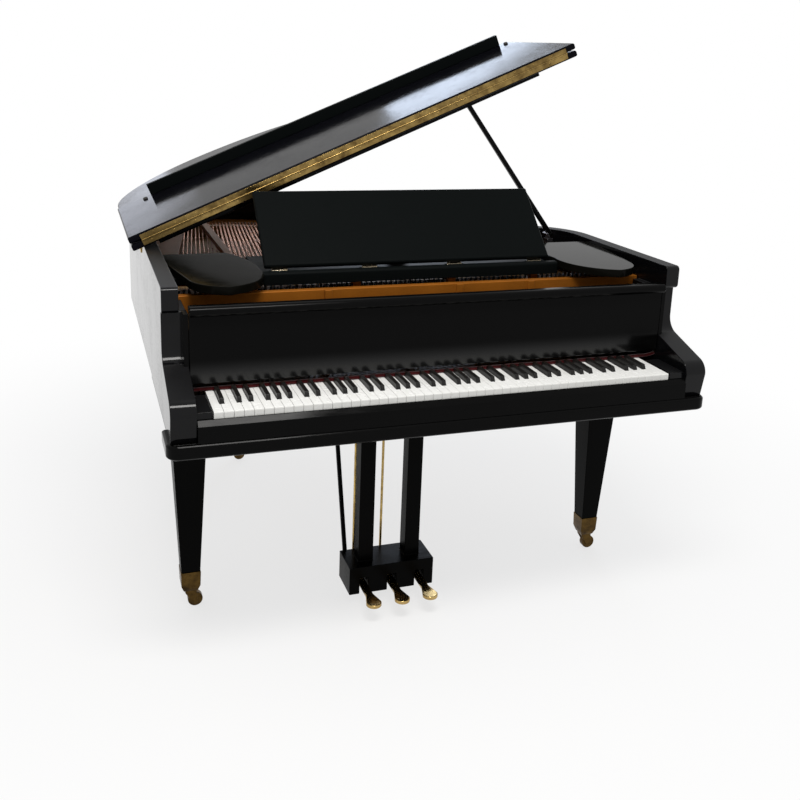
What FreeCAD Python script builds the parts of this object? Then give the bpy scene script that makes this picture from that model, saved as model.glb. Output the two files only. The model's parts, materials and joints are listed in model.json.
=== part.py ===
import FreeCAD, Part
import math
import os

# A grand piano with its lid open on the prop and its front flap folded back.
# While it is built, x = 0 is the middle of the case, y = 0 the white key fronts with +y
# towards the tail, and z = 0 the floor. The finished part is moved to stand centred on the origin.

V = FreeCAD.Vector
X_AXIS = V(1, 0, 0)
Y_AXIS = V(0, 1, 0)
Z_AXIS = V(0, 0, 1)

# General
overrun = 20.0
fit = 0.3
pivot_gap = 0.1
rod_sides = 8
running_gap = 0.5

# Keyboard
natural_count = 52
bass_natural_count = 23
single_natural_count = 3
natural_pitch = 23.56
keyboard_offset = -5.0
key_gap = 0.9
key_thickness = 21.0
key_rise = 49.0
key_length = 380.0
natural_head = 50.0
sharp_width = 11.0
sharp_rise = 12.0
sharp_slope = 7.0
sharp_end = 144.0
balance_line = 235.0
balance_drop = 3.0
shift_travel = 2.5
sharp_offset_shares = {"C": -0.1, "D": 0.1, "F": -0.135, "G": 0.0, "A": 0.135}
key_letters = "ABCDEFG"
frame_base = 16.0
front_rail_start = 26.0
front_rail_width = 36.0
front_rail_height = 30.0
balance_rail_width = 30.0
back_rail_cover = 30.0
back_rail_width = 110.0
frame_slat_width = 40.0
frame_slat_shares = (-0.85, -0.3, 0.3, 0.85)

# Keybed and front rails
keybed_bottom = 624.0
keybed_thickness = 36.0
keybed_rear = 585.0
keybed_inset = 6.0
moulding_reach = 20.0
moulding_nose = 12.0
moulding_overhang = 10.0
moulding_return = 100.0
moulding_corner = 30.0
moulding_ease = 5.0
slip_gap = 1.5
slip_thickness = 14.0
slip_height = 54.0
slip_bevel = 13.0
key_block_width = 40.0
key_block_height = 71.0
key_block_depth = 120.0

# Case, with its heights above the keybed
case_length = 1700.0
rim_wall = 41.0
liner_wall = 40.0
cheek_length = 655.0
treble_bend_radius = 210.0
tail_bend_radius = 615.0
tail_corner_radius = 310.0
treble_bend_angle = 50.0
lining_thickness = 20.0
arm_reach = 12.0
arm_face = 170.0
arm_head_reach = 20.0
arm_head_height = 64.0
arm_head_round = 12.0
arm_nose_height = 64.0
arm_sweep_height = 186.0
arm_recede = 16.0
arm_sweep_angle = 72.0
arm_hollow_share = 0.55

# Hammer row
hammer_rail_width = 20.0
hammer_rail_thickness = 18.0
hammer_rail_rise = 36.0
hammer_bracket_width = 16.0
hammer_width = 8.0
hammer_depth = 16.0
hammer_clearance = 8.0

# Fallboard and felt, with their heights above the white keys
fallboard_front = 134.0
fallboard_thickness = 16.0
fallboard_rise = 23.0
fallboard_height = 171.0
fallboard_nose_height = 24.0
fallboard_nose_reach = 18.0
fallboard_pivot_setback = 11.0
fallboard_pivot_rise = 30.0
fallboard_pin_radius = 4.0
fallboard_pin_length = 8.0
fallboard_side_gap = 1.2
felt_rail_width = 36.0
felt_rail_thickness = 6.0
felt_rail_lift = 1.2
felt_lift = 2.0
felt_gap = 1.0
felt_thickness = 5.0
felt_height = 8.0

# Pin block, plate and soundboard
soundboard_rise = 198.0
soundboard_thickness = 8.0
belly_lead = 55.0
belly_depth = 45.0
pin_block_lead = 310.0
pin_block_depth = 180.0
pin_block_thickness = 40.0
lining_gap = 5.0
plate_lift = 34.0
plate_thickness = 12.0
plate_margin = 2.0
plate_skirt = 25.0
flange_depth = 22.0
flange_height = 36.0
lug_width = 20.0
lug_depth = 8.0
lug_shares = (-0.38, 0.145, 0.45)
slot_depth = 88.0
slot_lead = 12.0
slot_inset = 36.0
window_lead = 18.0
hitch_land = 18.0
strut_shares = (-0.63, -0.22, 0.18, 0.55)
strut_width = 24.0
strut_thickness = 18.0
strut_rise = 15.0
strut_front_inset = 115.0
strut_foot = 20.0
strut_rear_foot = 14.0

# Strings, pins, bridges and dampers
note_count = 88
bass_note_count = 28
pin_width = 6.0
pin_height = 13.0
pin_inset = 150.0
pin_row_step = 20.0
string_margin = 31.0
treble_string = 1.4
bass_string = 2.2
treble_string_rise = 6.0
bass_string_rise = 11.0
treble_hitch_shares = ((0.8, 0.119), (0.22, 0.49), (-0.45, 0.706))
bass_hitch_shares = ((-0.24, 0.791), (-0.45, 0.845), (-0.7, 0.853))
bridge_end_share = 0.03
bridge_setback_share = 0.064
bridge_width = 22.0
damper_count = 66
damper_width = 8.0
damper_length = 16.0
damper_height = 16.0
damper_lead = 22.0
string_seat = 0.1

# Back beams
beam_width = 70.0
beam_rise = 30.0
beam_height = 90.0
beam_shares = (-0.75, -0.481, -0.1, 0.22)
leg_block = 150.0

# Music shelf, side shelves and desk
shelf_side_space = 242.0
shelf_gap = 6.0
shelf_depth = 286.0
shelf_lift = 4.0
shelf_cover = 52.0
shelf_thickness = 22.0
shelf_lip_depth = 30.0
shelf_lip_height = 13.0
shelf_lip_round = 8.0
arm_bar_setback = 45.0
arm_bar_depth = 155.0
arm_bar_thickness = 18.0
wing_width = 236.0
wing_setback = 10.0
wing_rear_inset = 26.0
wing_thickness = 22.0
wing_side_shares = ((0.0, 1.0), (0.0, 0.76), (0.17, 0.21))
wing_curve_shares = ((0.33, 0.065), (0.55, 0.012), (0.86, 0.13), (1.0, 0.45), (0.97, 0.72), (0.78, 1.0))
desk_margin = 10.0
desk_height = 252.0
desk_thickness = 16.0
desk_heel = 4.0
desk_chamfer = 3.0
desk_angle = 45.0
desk_axis_setback = 52.0
desk_knuckle_radius = 4.0
desk_knuckle_length = 44.0
desk_knuckle_shares = (-0.9, -0.3, 0.3, 0.9)
desk_ear_thickness = 6.0
desk_pin_radius = 2.0
desk_leaf_thickness = 2.0
desk_leaf_length = 26.0
desk_back_gap = 6.0
strut_arm = 110.0
desk_strut_width = 60.0
desk_strut_thickness = 8.0
strut_lug_thickness = 6.0

# Lid
lid_angle = 23.1
lid_overhang = 14.0
lid_bass_overhang = 30.0
lid_thickness = 19.0
lid_seat_gap = 2.0
lid_axis_drop = 6.0
lid_axis_out = 6.0
lid_edge_chamfer = 3.0
flap_lead = 23.0
flap_depth = 487.0
flap_fold_gap = 4.0
flap_fold_angle = 178.8
flap_axis_reach = 2.5
flap_corner = 10.0
hinge_leaf_thickness = 1.5
hinge_leaf_height = 14.0
hinge_leaf_inset = 34.0
hinge_pin_radius = 2.2
lip_setback = 464.0
lip_height = 37.0
lip_thickness = 18.0
lip_bass_inset = 118.0
lip_treble_inset = 36.0
batten_width = 34.0
batten_thickness = 15.0
batten_lead = 30.0
batten_bass_inset = 76.0
batten_treble_inset = 128.0
socket_size = 46.0
socket_thickness = 18.0
butt_hinge_length = 90.0
butt_hinge_drop = 34.0
butt_leaf_thickness = 2.5
butt_barrel_radius = 5.0
butt_shares = (0.45, 0.72)

# Prop
prop_inset = 60.0
prop_setback = 80.0
prop_foot_drop = 10.0
prop_angle = 37.4
prop_width = 18.0
prop_depth = 14.0
prop_tip_width = 12.0
prop_eye_radius = 10.0
prop_pin_radius = 4.0
prop_ear_thickness = 7.0
prop_ear_half = 14.0
prop_post_width = 20.0

# Legs and casters
front_leg_inset = 82.0
front_leg_y = 391.0
rear_leg_share = -0.481
rear_leg_inset = 340.0
leg_top_width = 100.0
leg_foot_width = 53.0
leg_flare = 12.0
leg_flare_height = 25.0
ferrule_top = 116.0
ferrule_height = 62.0
ferrule_wall = 8.0
ferrule_proud = 1.5
ferrule_sink = 30.0
ferrule_neck = 18.0
ferrule_taper = 7.0
wheel_radius = 21.0
wheel_width = 20.0
axle_radius = 4.0
caster_trail = 13.0
fork_wall = 4.0
fork_crown = 7.0
fork_clearance = 1.5
stem_radius = 7.0
stem_length = 18.0

# Pedal lyre
lyre_x = -72.0
lyre_y = 320.0
lyre_top_half = 112.0
lyre_top_depth = 105.0
lyre_top_thickness = 25.0
post_width = 45.0
post_spread = 142.0
pedal_count = 3
pedal_box_half = 128.0
pedal_box_depth = 110.0
pedal_box_bottom = 32.0
pedal_box_height = 84.0
pedal_spread = 84.0
pedal_width = 22.0
pedal_thickness = 11.0
pedal_pivot_rise = 24.0
pedal_reach = 170.0
pedal_tip_width = 44.0
pedal_tip_length = 62.0
pedal_tail = 70.0
pedal_headroom = 26.0
pedal_side_gap = 2.0
pedal_pin_radius = 3.0
rod_radius = 4.0
rod_setback = 60.0
rod_top_gap = 12.0
brace_width = 12.0
brace_spread = 220.0
brace_foot_height = 40.0
brace_run = 190.0

# Worked-out places across the case
keyboard_half = natural_count * natural_pitch / 2
lining_half = keyboard_half + shift_travel + slip_gap + key_block_width
inner_half = lining_half + lining_thickness
case_half = inner_half + rim_wall
case_width = case_half + case_half
shelf_half_width = inner_half - shelf_side_space
desk_half_width = shelf_half_width - desk_margin
lid_left = -case_half - lid_bass_overhang
lid_right = case_half + lid_overhang
lid_axis_x = -case_half - lid_axis_out
string_half = inner_half - string_margin
front_leg_x = case_half - front_leg_inset
rear_leg_x = case_half * rear_leg_share
prop_foot_x = inner_half - prop_inset

# Worked-out places from front to tail
back_rail_start = key_length - back_rail_cover
belly_front = cheek_length - belly_lead
flap_line = cheek_length - flap_lead
pin_block_front = belly_front - pin_block_lead
fallboard_pivot_y = fallboard_front + fallboard_thickness + fallboard_pivot_setback
lining_rear = pin_block_front - lining_gap
pin_line = pin_block_front + pin_inset
strut_front = pin_block_front + strut_front_inset
slot_front = belly_front - slot_lead - slot_depth
window_front = belly_front + window_lead
damper_line = belly_front - damper_lead
sounding_length = case_length - belly_front
shelf_rear = flap_line - shelf_gap
shelf_front = shelf_rear - shelf_depth
arm_bar_front = shelf_front + arm_bar_setback
arm_bar_rear = arm_bar_front + arm_bar_depth
wing_front = arm_face + wing_setback
wing_depth = shelf_rear - wing_rear_inset - wing_front
desk_axis_y = shelf_front + desk_axis_setback
flap_axis_y = flap_line - flap_axis_reach
prop_foot_y = cheek_length + prop_setback
rear_leg_y = case_length - rear_leg_inset
pedal_pivot_y = lyre_y
rod_y = lyre_y + rod_setback

# Worked-out heights
keybed_top = keybed_bottom + keybed_thickness
key_bottom = keybed_top + key_rise
key_top = key_bottom + key_thickness
balance_z = key_bottom - balance_drop
arm_nose_top = keybed_top + arm_nose_height
arm_sweep_top = keybed_top + arm_sweep_height
fallboard_bottom = key_top + fallboard_rise
fallboard_top = fallboard_bottom + fallboard_height
fallboard_pivot_z = fallboard_bottom + fallboard_pivot_rise
soundboard_bottom = keybed_top + soundboard_rise
soundboard_top = soundboard_bottom + soundboard_thickness
plate_top = soundboard_top + plate_lift
plate_bottom = plate_top - plate_thickness
beam_bottom = keybed_top + beam_rise
hammer_top = plate_bottom - pin_block_thickness - hammer_clearance
shelf_bottom = plate_top + flange_height + shelf_lift
rim_top = shelf_bottom + shelf_cover
lining_top = rim_top - arm_head_height
desk_axis_z = shelf_bottom + shelf_thickness + desk_knuckle_radius + fit
lid_bottom = rim_top + lid_seat_gap
lid_top = lid_bottom + lid_thickness
lid_axis_z = lid_bottom - lid_axis_drop
flap_axis_z = lid_top + flap_fold_gap / 2
prop_foot_z = rim_top - prop_foot_drop
ferrule_bottom = ferrule_top - ferrule_height
fork_top = ferrule_bottom - running_gap
pedal_pivot_z = pedal_box_bottom + pedal_pivot_rise
rod_bottom = pedal_pivot_z + pedal_thickness / 2 + running_gap
rod_top = keybed_bottom - rod_top_gap


def box(x0, x1, y0, y1, z0, z1):
    return Part.makeBox(x1 - x0, y1 - y0, z1 - z0, V(x0, y0, z0))


def cylinder(radius, start, end):
    along = end.sub(start)
    return Part.makeCylinder(radius, along.Length, start, along)


def polygon(points):
    return Part.Face(Part.makePolygon(list(points) + [points[0]]))


def rod(radius, start, end):
    """An eight-sided rod that just fits inside a round of this radius."""
    along = end.sub(start)
    side = along.cross(V(along.y, along.z, along.x)).normalize()
    corners = []
    for turn in range(rod_sides):
        spin = FreeCAD.Rotation(along, 360 * turn / rod_sides)
        corners.append(start.add(spin.multVec(side).multiply(radius)))
    return polygon(corners).extrude(along)


def side_prism(points, x0, x1):
    """A side view in (y, z), stretched from x0 to x1."""
    face = polygon([V(x0, y, z) for y, z in points])
    return face.extrude(V(x1 - x0, 0, 0))


def arc(points):
    return Part.Arc(*points).toShape()


def outline(points):
    return [Part.makeLine(start, end) for start, end in zip(points, points[1:])]


def stretch(edges, along):
    """A closed outline of edges, stretched into a solid."""
    return Part.Face(Part.Wire(edges)).extrude(along)


def frustum(x, y, z0, width0, z1, width1):
    """A square block that tapers from one width to another."""
    rings = []
    for z, width in ((z0, width0), (z1, width1)):
        half = width / 2
        rings.append([V(x - half, y - half, z), V(x + half, y - half, z), V(x + half, y + half, z),
                      V(x - half, y + half, z)])
    low, high = rings
    faces = [polygon(low), polygon(high)]
    for here in range(len(low)):
        faces.append(polygon([low[here - 1], low[here], high[here], high[here - 1]]))
    return Part.Solid(Part.Shell(faces))


def fuse(shapes):
    return shapes[0].fuse(shapes[1:]).removeSplitter()


def open_lid(shape):
    """Turn a lid piece, drawn closed, up about the bass-side hinge line."""
    turned = shape.copy()
    turned.rotate(V(lid_axis_x, 0, lid_axis_z), Y_AXIS, -lid_angle)
    return turned


def fold_flap(shape):
    """Turn a flap piece, drawn closed, back on top of the main lid, then open the lid."""
    turned = shape.copy()
    turned.rotate(V(0, flap_axis_y, flap_axis_z), X_AXIS, -flap_fold_angle)
    return open_lid(turned)


def turn_arc(start, heading, turn, radius):
    """An arc from start that turns left, or right when turn is negative; also its end and new heading."""
    side = 1 if turn > 0 else -1
    centre = start.add(V(-math.sin(heading), math.cos(heading), 0).multiply(side * radius))

    def at(angle):
        return centre.add(V(math.sin(angle), -math.cos(angle), 0).multiply(side * radius))

    end = at(heading + turn)
    return Part.Arc(start, at(heading + turn / 2), end).toShape(), end, heading + turn


def waist_sweep():
    """Signed radius of the waist and the heading after it, which join the treble bend to the tail."""
    heading = math.pi / 2 + math.radians(treble_bend_angle)
    run = case_length - cheek_length + treble_bend_radius * math.cos(heading) - tail_bend_radius
    across = case_width - treble_bend_radius * (1 - math.sin(heading)) - tail_corner_radius
    reach = run * run + across * across - tail_bend_radius * tail_bend_radius
    lean = tail_bend_radius - run * math.cos(heading) - across * math.sin(heading)
    radius = reach / (lean + lean)
    side = 1 if radius > 0 else -1
    end_x = side * (across + radius * math.sin(heading))
    end_y = side * (run + radius * math.cos(heading))
    return radius, math.atan2(end_x, end_y)


def case_edges(inset, bass_inset, z):
    """Bent side and tail as four tangent arcs, from cheek to spine, moved in from the outer wall."""
    quarter = math.pi / 2
    waist_radius, tail_heading = waist_sweep()
    start = V(case_half - inset, cheek_length, z)
    bend = math.radians(treble_bend_angle)
    first, end, heading = turn_arc(start, quarter, bend, treble_bend_radius - inset)
    second, end, heading = turn_arc(end, heading, tail_heading - heading, abs(waist_radius + inset))
    third, end, heading = turn_arc(end, heading, math.pi - heading, tail_bend_radius - inset)
    fourth, end, heading = turn_arc(end, heading, quarter, end.x + case_half - bass_inset)
    return start, [first, second, third, fourth], end


def plan_solid(inset, front, z0, z1, bass_inset=None):
    """The case's plan, moved in by inset, from the front line back to the tail."""
    spine = inset if bass_inset is None else bass_inset
    treble_end, edges, bass_end = case_edges(inset, spine, z0)
    right = V(case_half - inset, front, z0)
    left = V(spine - case_half, front, z0)
    edges += outline([bass_end, left, right, treble_end])
    return stretch(edges, V(0, 0, z1 - z0))


def arm_relief():
    """What is cut from the front of both rim sides to leave the arms' rounded head and ogee profile."""
    turn = math.radians(arm_sweep_angle)
    depth = arm_face + arm_reach
    height = arm_sweep_top - arm_nose_top
    both = (height * math.sin(turn) - depth * math.cos(turn)) / (1 - math.cos(turn))
    hollow = both * arm_hollow_share
    nose = both - hollow
    left = -case_half - overrun

    def at(y, z):
        return V(left, y, z)

    def hollow_at(angle):
        return at(arm_face - hollow * (1 - math.cos(angle)), arm_sweep_top - hollow * math.sin(angle))

    def nose_at(angle):
        return at(-arm_reach + nose * (1 - math.cos(angle)), arm_nose_top + nose * math.sin(angle))

    def head_at(angle, z):
        middle = arm_face - arm_head_reach + arm_head_round
        return at(middle - arm_head_round * math.cos(angle), z + arm_head_round * math.sin(angle))

    quarter = math.pi / 2
    head_low = lining_top + arm_head_round
    head_high = rim_top - arm_head_round
    foot = at(-arm_reach + arm_recede, keybed_top - overrun)
    low = at(-arm_reach - overrun, keybed_top - overrun)
    high = at(-arm_reach - overrun, rim_top)
    edges = [Part.makeLine(high, head_at(quarter, head_high)),
             arc([head_at(quarter, head_high), head_at(quarter / 2, head_high), head_at(0, head_high)]),
             Part.makeLine(head_at(0, head_high), head_at(0, head_low)),
             arc([head_at(0, head_low), head_at(-quarter / 2, head_low), head_at(-quarter, head_low)])]
    edges += outline([head_at(-quarter, head_low), at(arm_face, lining_top), hollow_at(0)])
    edges += [arc([hollow_at(0), hollow_at(turn / 2), hollow_at(turn)]),
              Part.makeLine(hollow_at(turn), nose_at(turn)),
              arc([nose_at(turn), nose_at(turn / 2), nose_at(0)])]
    edges += outline([nose_at(0), foot, low, high])
    return stretch(edges, V(case_width + overrun + overrun, 0, 0))


def case_rim():
    """The bent outer wall with its arms and arm linings, and the inner rim that carries the soundboard."""
    front = -arm_reach
    open_front = front - overrun
    belly_rear = belly_front + belly_depth
    low = keybed_top - overrun
    shell = plan_solid(0, front, keybed_top, rim_top)
    shell = shell.cut(plan_solid(rim_wall, open_front, soundboard_bottom, rim_top + overrun))
    shell = shell.cut(plan_solid(rim_wall + liner_wall, belly_rear, low, soundboard_bottom))
    shell = shell.cut(box(-inner_half, inner_half, open_front, belly_rear, low, soundboard_bottom))
    linings = []
    for sign in (-1, 1):
        ends = sorted((sign * lining_half, sign * inner_half))
        linings.append(box(ends[0], ends[1], front, lining_rear, keybed_top, lining_top))
    shell = fuse([shell] + linings).cut(arm_relief())
    bore = fallboard_pin_radius + pivot_gap
    reach = lining_half + fallboard_pin_length + fit
    start = V(-reach, fallboard_pivot_y, fallboard_pivot_z)
    end = V(reach, fallboard_pivot_y, fallboard_pivot_z)
    return shell.cut(cylinder(bore, start, end)).removeSplitter()


def keybed():
    side = case_half - keybed_inset
    front = -moulding_reach + moulding_nose
    return box(-side, side, front, keybed_rear, keybed_bottom, keybed_top)


def base_moulding():
    """A board along the keybed's front edge, rounded at its corners and returned along both sides."""
    side = case_half + moulding_overhang
    front = -moulding_reach
    board = box(-side, side, front, moulding_return, keybed_bottom, keybed_top)
    corners = [e for e in board.Edges if e.BoundBox.ZLength > fit and e.BoundBox.YMax < 0]
    board = board.makeFillet(moulding_corner, corners)
    board = board.makeChamfer(moulding_ease, [e for e in board.Edges if e.BoundBox.ZLength < fit])
    inner = case_half - keybed_inset
    bed = box(-inner, inner, front + moulding_nose, moulding_return + overrun, keybed_bottom - overrun,
              keybed_top + overrun)
    return board.cut(bed)


def key_slip():
    """The rail before the white keys, its upper front edge bevelled."""
    rear = -slip_gap
    front = rear - slip_thickness
    top = keybed_top + slip_height
    side = lining_half - fit
    points = [(front, keybed_top), (rear, keybed_top), (rear, top), (rear - slip_gap, top),
              (front, top - slip_bevel)]
    return side_prism(points, -side, side)


def key_blocks():
    """The two end blocks beside the keyboard."""
    front = fit
    blocks = []
    for sign in (-1, 1):
        inner = keyboard_offset + sign * (keyboard_half + shift_travel + slip_gap)
        ends = sorted((inner, sign * lining_half))
        blocks.append(box(ends[0], ends[1], front, front + key_block_depth, keybed_top,
                          keybed_top + key_block_height))
    return Part.makeCompound(blocks)


def natural_left(index):
    return keyboard_offset - keyboard_half + index * natural_pitch


def sharp_centre(index):
    """Middle of the sharp to the right of natural number index, or None where there is none."""
    letter = key_letters[index % len(key_letters)]
    if letter not in sharp_offset_shares or not 0 <= index < natural_count - 1:
        return None
    return natural_left(index + 1) + natural_pitch * sharp_offset_shares[letter]


def natural_key(index):
    left = natural_left(index) + key_gap / 2
    right = natural_left(index + 1) - key_gap / 2
    beside = sharp_width / 2 + key_gap
    before, after = sharp_centre(index - 1), sharp_centre(index)
    rear_left = left if before is None else before + beside
    rear_right = right if after is None else after - beside
    head = box(left, right, 0, natural_head, key_bottom, key_top)
    shank = box(rear_left, rear_right, natural_head, key_length, key_bottom, key_top)
    return fuse([head, shank])


def sharp_key(index):
    middle = sharp_centre(index)
    front = natural_head + key_gap
    raised = key_top + sharp_rise
    points = [(front, key_bottom), (front, key_top), (front + sharp_slope, raised), (sharp_end, raised),
              (sharp_end, key_top), (key_length, key_top), (key_length, key_bottom)]
    return side_prism(points, middle - sharp_width / 2, middle + sharp_width / 2)


def natural_bank(first, last):
    return Part.makeCompound([natural_key(index) for index in range(first, last)])


def sharp_bank(first, last):
    return Part.makeCompound([sharp_key(i) for i in range(first, last) if sharp_centre(i) is not None])


def key_frame():
    """Front, balance and back rails on cross slats, with a round bead where the keys rock."""
    side = keyboard_half - key_gap
    left = keyboard_offset - side
    right = keyboard_offset + side
    base_top = keybed_top + frame_base
    rear = back_rail_start + back_rail_width
    half = balance_rail_width / 2
    web = balance_drop - fit
    rail_top = balance_z - balance_drop
    rails = [box(left, right, front_rail_start, front_rail_start + front_rail_width, keybed_top,
                 keybed_top + front_rail_height)]
    rails.append(box(left, right, balance_line - half, balance_line + half, keybed_top, rail_top))
    rails.append(cylinder(web, V(left, balance_line, balance_z), V(right, balance_line, balance_z)))
    rails.append(box(left, right, balance_line - web, balance_line + web, rail_top - balance_drop,
                     balance_z))
    rails.append(box(left, right, back_rail_start, key_length, keybed_top, key_bottom - fit))
    rails.append(box(left, right, key_length, rear, keybed_top, base_top))
    for share in frame_slat_shares:
        middle = keyboard_offset + share * side
        rails.append(box(middle - frame_slat_width / 2, middle + frame_slat_width / 2, front_rail_start,
                         rear, keybed_top, base_top))
    return fuse(rails)


def note_x(note):
    """Where a note's tuning pin stands across the case, bass first."""
    share = note / (note_count - 1)
    return string_half * (share - (1 - share))


def hammer_row():
    """Wedge-shaped hammers on a rail that four brackets carry from the back of the key frame."""
    rear = back_rail_start + back_rail_width
    rail_bottom = key_top + hammer_rail_rise
    rail_front = rear - hammer_rail_width
    side = keyboard_half - key_gap
    left = keyboard_offset - side
    right = keyboard_offset + side
    pieces = [box(left, right, rail_front, rear, rail_bottom, rail_bottom + hammer_rail_thickness)]
    for share in frame_slat_shares:
        middle = keyboard_offset + share * side
        pieces.append(box(middle - hammer_bracket_width / 2, middle + hammer_bracket_width / 2, rail_front,
                          rear, keybed_top + frame_base, rail_bottom))
    row = [fuse(pieces)]
    profile = [(rear, rail_bottom), (rear + hammer_depth, rail_bottom), (rear, hammer_top)]
    for note in range(note_count):
        middle = left + (right - left) * (note + 1 / 2) / note_count
        row.append(side_prism(profile, middle - hammer_width / 2, middle + hammer_width / 2))
    return Part.makeCompound(row)


def fallboard():
    """The hinged key cover, standing open, with its nose rail at the top and a pivot at each end."""
    side = lining_half - fallboard_side_gap
    rear = fallboard_front + fallboard_thickness
    nose_top = fallboard_top + fallboard_nose_height
    nose = V(-side, fallboard_front - fallboard_nose_reach, fallboard_top + fallboard_nose_height / 2)
    low_front = V(-side, fallboard_front, fallboard_bottom)
    high_front = V(-side, fallboard_front, fallboard_top)
    top_front = V(-side, fallboard_front, nose_top)
    edges = [Part.makeLine(low_front, high_front), arc([high_front, nose, top_front])]
    edges += outline([top_front, V(-side, rear, nose_top), V(-side, rear, fallboard_bottom), low_front])
    pieces = [stretch(edges, V(side + side, 0, 0))]
    ear = fallboard_pin_radius + fallboard_pin_radius
    for sign in (-1, 1):
        inside = sign * (side - ear)
        end = sign * (lining_half + fallboard_pin_length)
        ends = sorted((inside, sign * side))
        pieces.append(box(ends[0], ends[1], rear, fallboard_pivot_y + ear, fallboard_pivot_z - ear,
                          fallboard_pivot_z + ear))
        pieces.append(rod(fallboard_pin_radius, V(inside, fallboard_pivot_y, fallboard_pivot_z),
                          V(end, fallboard_pivot_y, fallboard_pivot_z)))
    return fuse(pieces)


def felt_rail():
    low = key_top + felt_rail_lift
    front = sharp_end + felt_gap + felt_thickness
    return box(-lining_half, lining_half, front, front + felt_rail_width, low, low + felt_rail_thickness)


def red_felt():
    low = key_top + felt_lift
    front = sharp_end + felt_gap
    return box(-lining_half, lining_half, front, front + felt_thickness, low, low + felt_height)


def pin_block():
    return box(-inner_half, inner_half, pin_block_front, pin_block_front + pin_block_depth,
               plate_bottom - pin_block_thickness, plate_bottom)


def hitch_curve(shares, setback, z=0):
    """Where a group of strings ends, or crosses its bridge when set back towards the pins."""
    return Part.Arc(*[V(case_half * x, belly_front + sounding_length * y - setback, z) for x, y in shares])


def curve_at(curve, share):
    first, last = curve.FirstParameter, curve.LastParameter
    return curve.value(first + (last - first) * share)


def string_end(note):
    """The hitch end of a note's string, in plan."""
    if note < bass_note_count:
        return curve_at(hitch_curve(bass_hitch_shares, 0), 1 - note / (bass_note_count - 1))
    share = (note_count - 1 - note) / (note_count - 1 - bass_note_count)
    return curve_at(hitch_curve(treble_hitch_shares, 0), share)


def string_start(note):
    row = note % 2
    return V(note_x(note), pin_line + row * pin_row_step + pin_width, 0)


def string_window(first, last, shares, z0, z1):
    """The opening in the plate below one group of strings."""
    rear = hitch_curve(shares, hitch_land, z0)
    left = V(note_x(first), window_front, z0)
    right = V(note_x(last), window_front, z0)
    edges = [rear.toShape()] + outline([rear.EndPoint, left, right, rear.StartPoint])
    return stretch(edges, V(0, 0, z1 - z0))


def plate_struts():
    """Raised bars that bridge the strings, footed before the pins and behind the hitch line."""
    inset = rim_wall + plate_margin
    low = plate_top + strut_rise
    high = low + strut_thickness
    inside = plan_solid(inset, strut_front, plate_top, high)
    outer_band = inside.cut(plan_solid(inset + strut_rear_foot, strut_front - overrun, plate_top, high))
    struts = []
    for share in strut_shares:
        left = share * case_half - strut_width / 2
        right = left + strut_width
        bar = box(left, right, strut_front, case_length, low, high).common(inside)
        front_foot = box(left, right, strut_front, strut_front + strut_foot, plate_top, low)
        rear_foot = box(left, right, window_front, case_length, plate_top, low).common(outer_band)
        struts += [bar, front_foot, rear_foot]
    return struts


def iron_plate():
    inset = rim_wall + plate_margin
    sheet = plan_solid(inset, pin_block_front, plate_bottom, plate_top)
    low, high = plate_bottom - overrun, plate_top + overrun
    side = inner_half - slot_inset
    sheet = sheet.cut(box(-side, side, slot_front, slot_front + slot_depth, low, high))
    sheet = sheet.cut(string_window(bass_note_count, note_count - 1, treble_hitch_shares, low, high))
    sheet = sheet.cut(string_window(0, bass_note_count - 1, bass_hitch_shares, low, high))
    skirt = plan_solid(inset, belly_front, soundboard_top, plate_bottom)
    skirt = skirt.cut(plan_solid(inset + plate_skirt, belly_front - overrun, soundboard_top, plate_bottom))
    half = inner_half - plate_margin
    flange = box(-half, half, pin_block_front, pin_block_front + flange_depth, plate_top,
                 plate_top + flange_height)
    pieces = [sheet, skirt, flange]
    for share in lug_shares:
        middle = share * case_half
        pieces.append(box(middle - lug_width / 2, middle + lug_width / 2, pin_block_front - lug_depth,
                          pin_block_front, plate_bottom, plate_top + flange_height))
    return fuse(pieces + plate_struts())


def soundboard():
    return plan_solid(rim_wall + fit, belly_front, soundboard_bottom, soundboard_top)


def bridge(shares, top):
    """A bar that follows its strings' hitch line, standing on the soundboard."""
    setback = sounding_length * bridge_setback_share
    near = hitch_curve(shares, setback + bridge_width, soundboard_top)
    far = hitch_curve(shares, setback, soundboard_top)
    stops = (bridge_end_share, 1 / 2, 1 - bridge_end_share)
    near_points = [curve_at(near, share) for share in stops]
    far_points = [curve_at(far, share) for share in reversed(stops)]
    edges = [arc(near_points), Part.makeLine(near_points[-1], far_points[0])]
    edges += [arc(far_points), Part.makeLine(far_points[-1], near_points[0])]
    return stretch(edges, V(0, 0, top - soundboard_top))


def bridges():
    treble_top = plate_top + treble_string_rise - treble_string / 2 - string_seat
    bass_top = plate_top + bass_string_rise - bass_string / 2 - string_seat
    return Part.makeCompound([bridge(treble_hitch_shares, treble_top), bridge(bass_hitch_shares, bass_top)])


def string(note, thickness, rise):
    start, end = string_start(note), string_end(note)
    run = end.sub(start)
    z = plate_top + rise
    half = thickness / 2
    bar = side_prism([(-half, -half), (half, -half), (0, half)], 0, run.Length)
    bar.rotate(V(0, 0, 0), Z_AXIS, math.degrees(math.atan2(run.y, run.x)))
    bar.translate(V(start.x, start.y, z))
    return bar


def treble_strings():
    notes = range(bass_note_count, note_count)
    return Part.makeCompound([string(note, treble_string, treble_string_rise) for note in notes])


def bass_strings():
    notes = range(bass_note_count)
    return Part.makeCompound([string(note, bass_string, bass_string_rise) for note in notes])


def tuning_pins():
    half = pin_width / 2 - fit
    pins = []
    for note in range(note_count):
        x = note_x(note)
        y = pin_line + note % 2 * pin_row_step + pin_width / 2
        pins.append(box(x - half, x + half, y - half, y + half, plate_top, plate_top + pin_height))
    return Part.makeCompound(pins)


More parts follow.
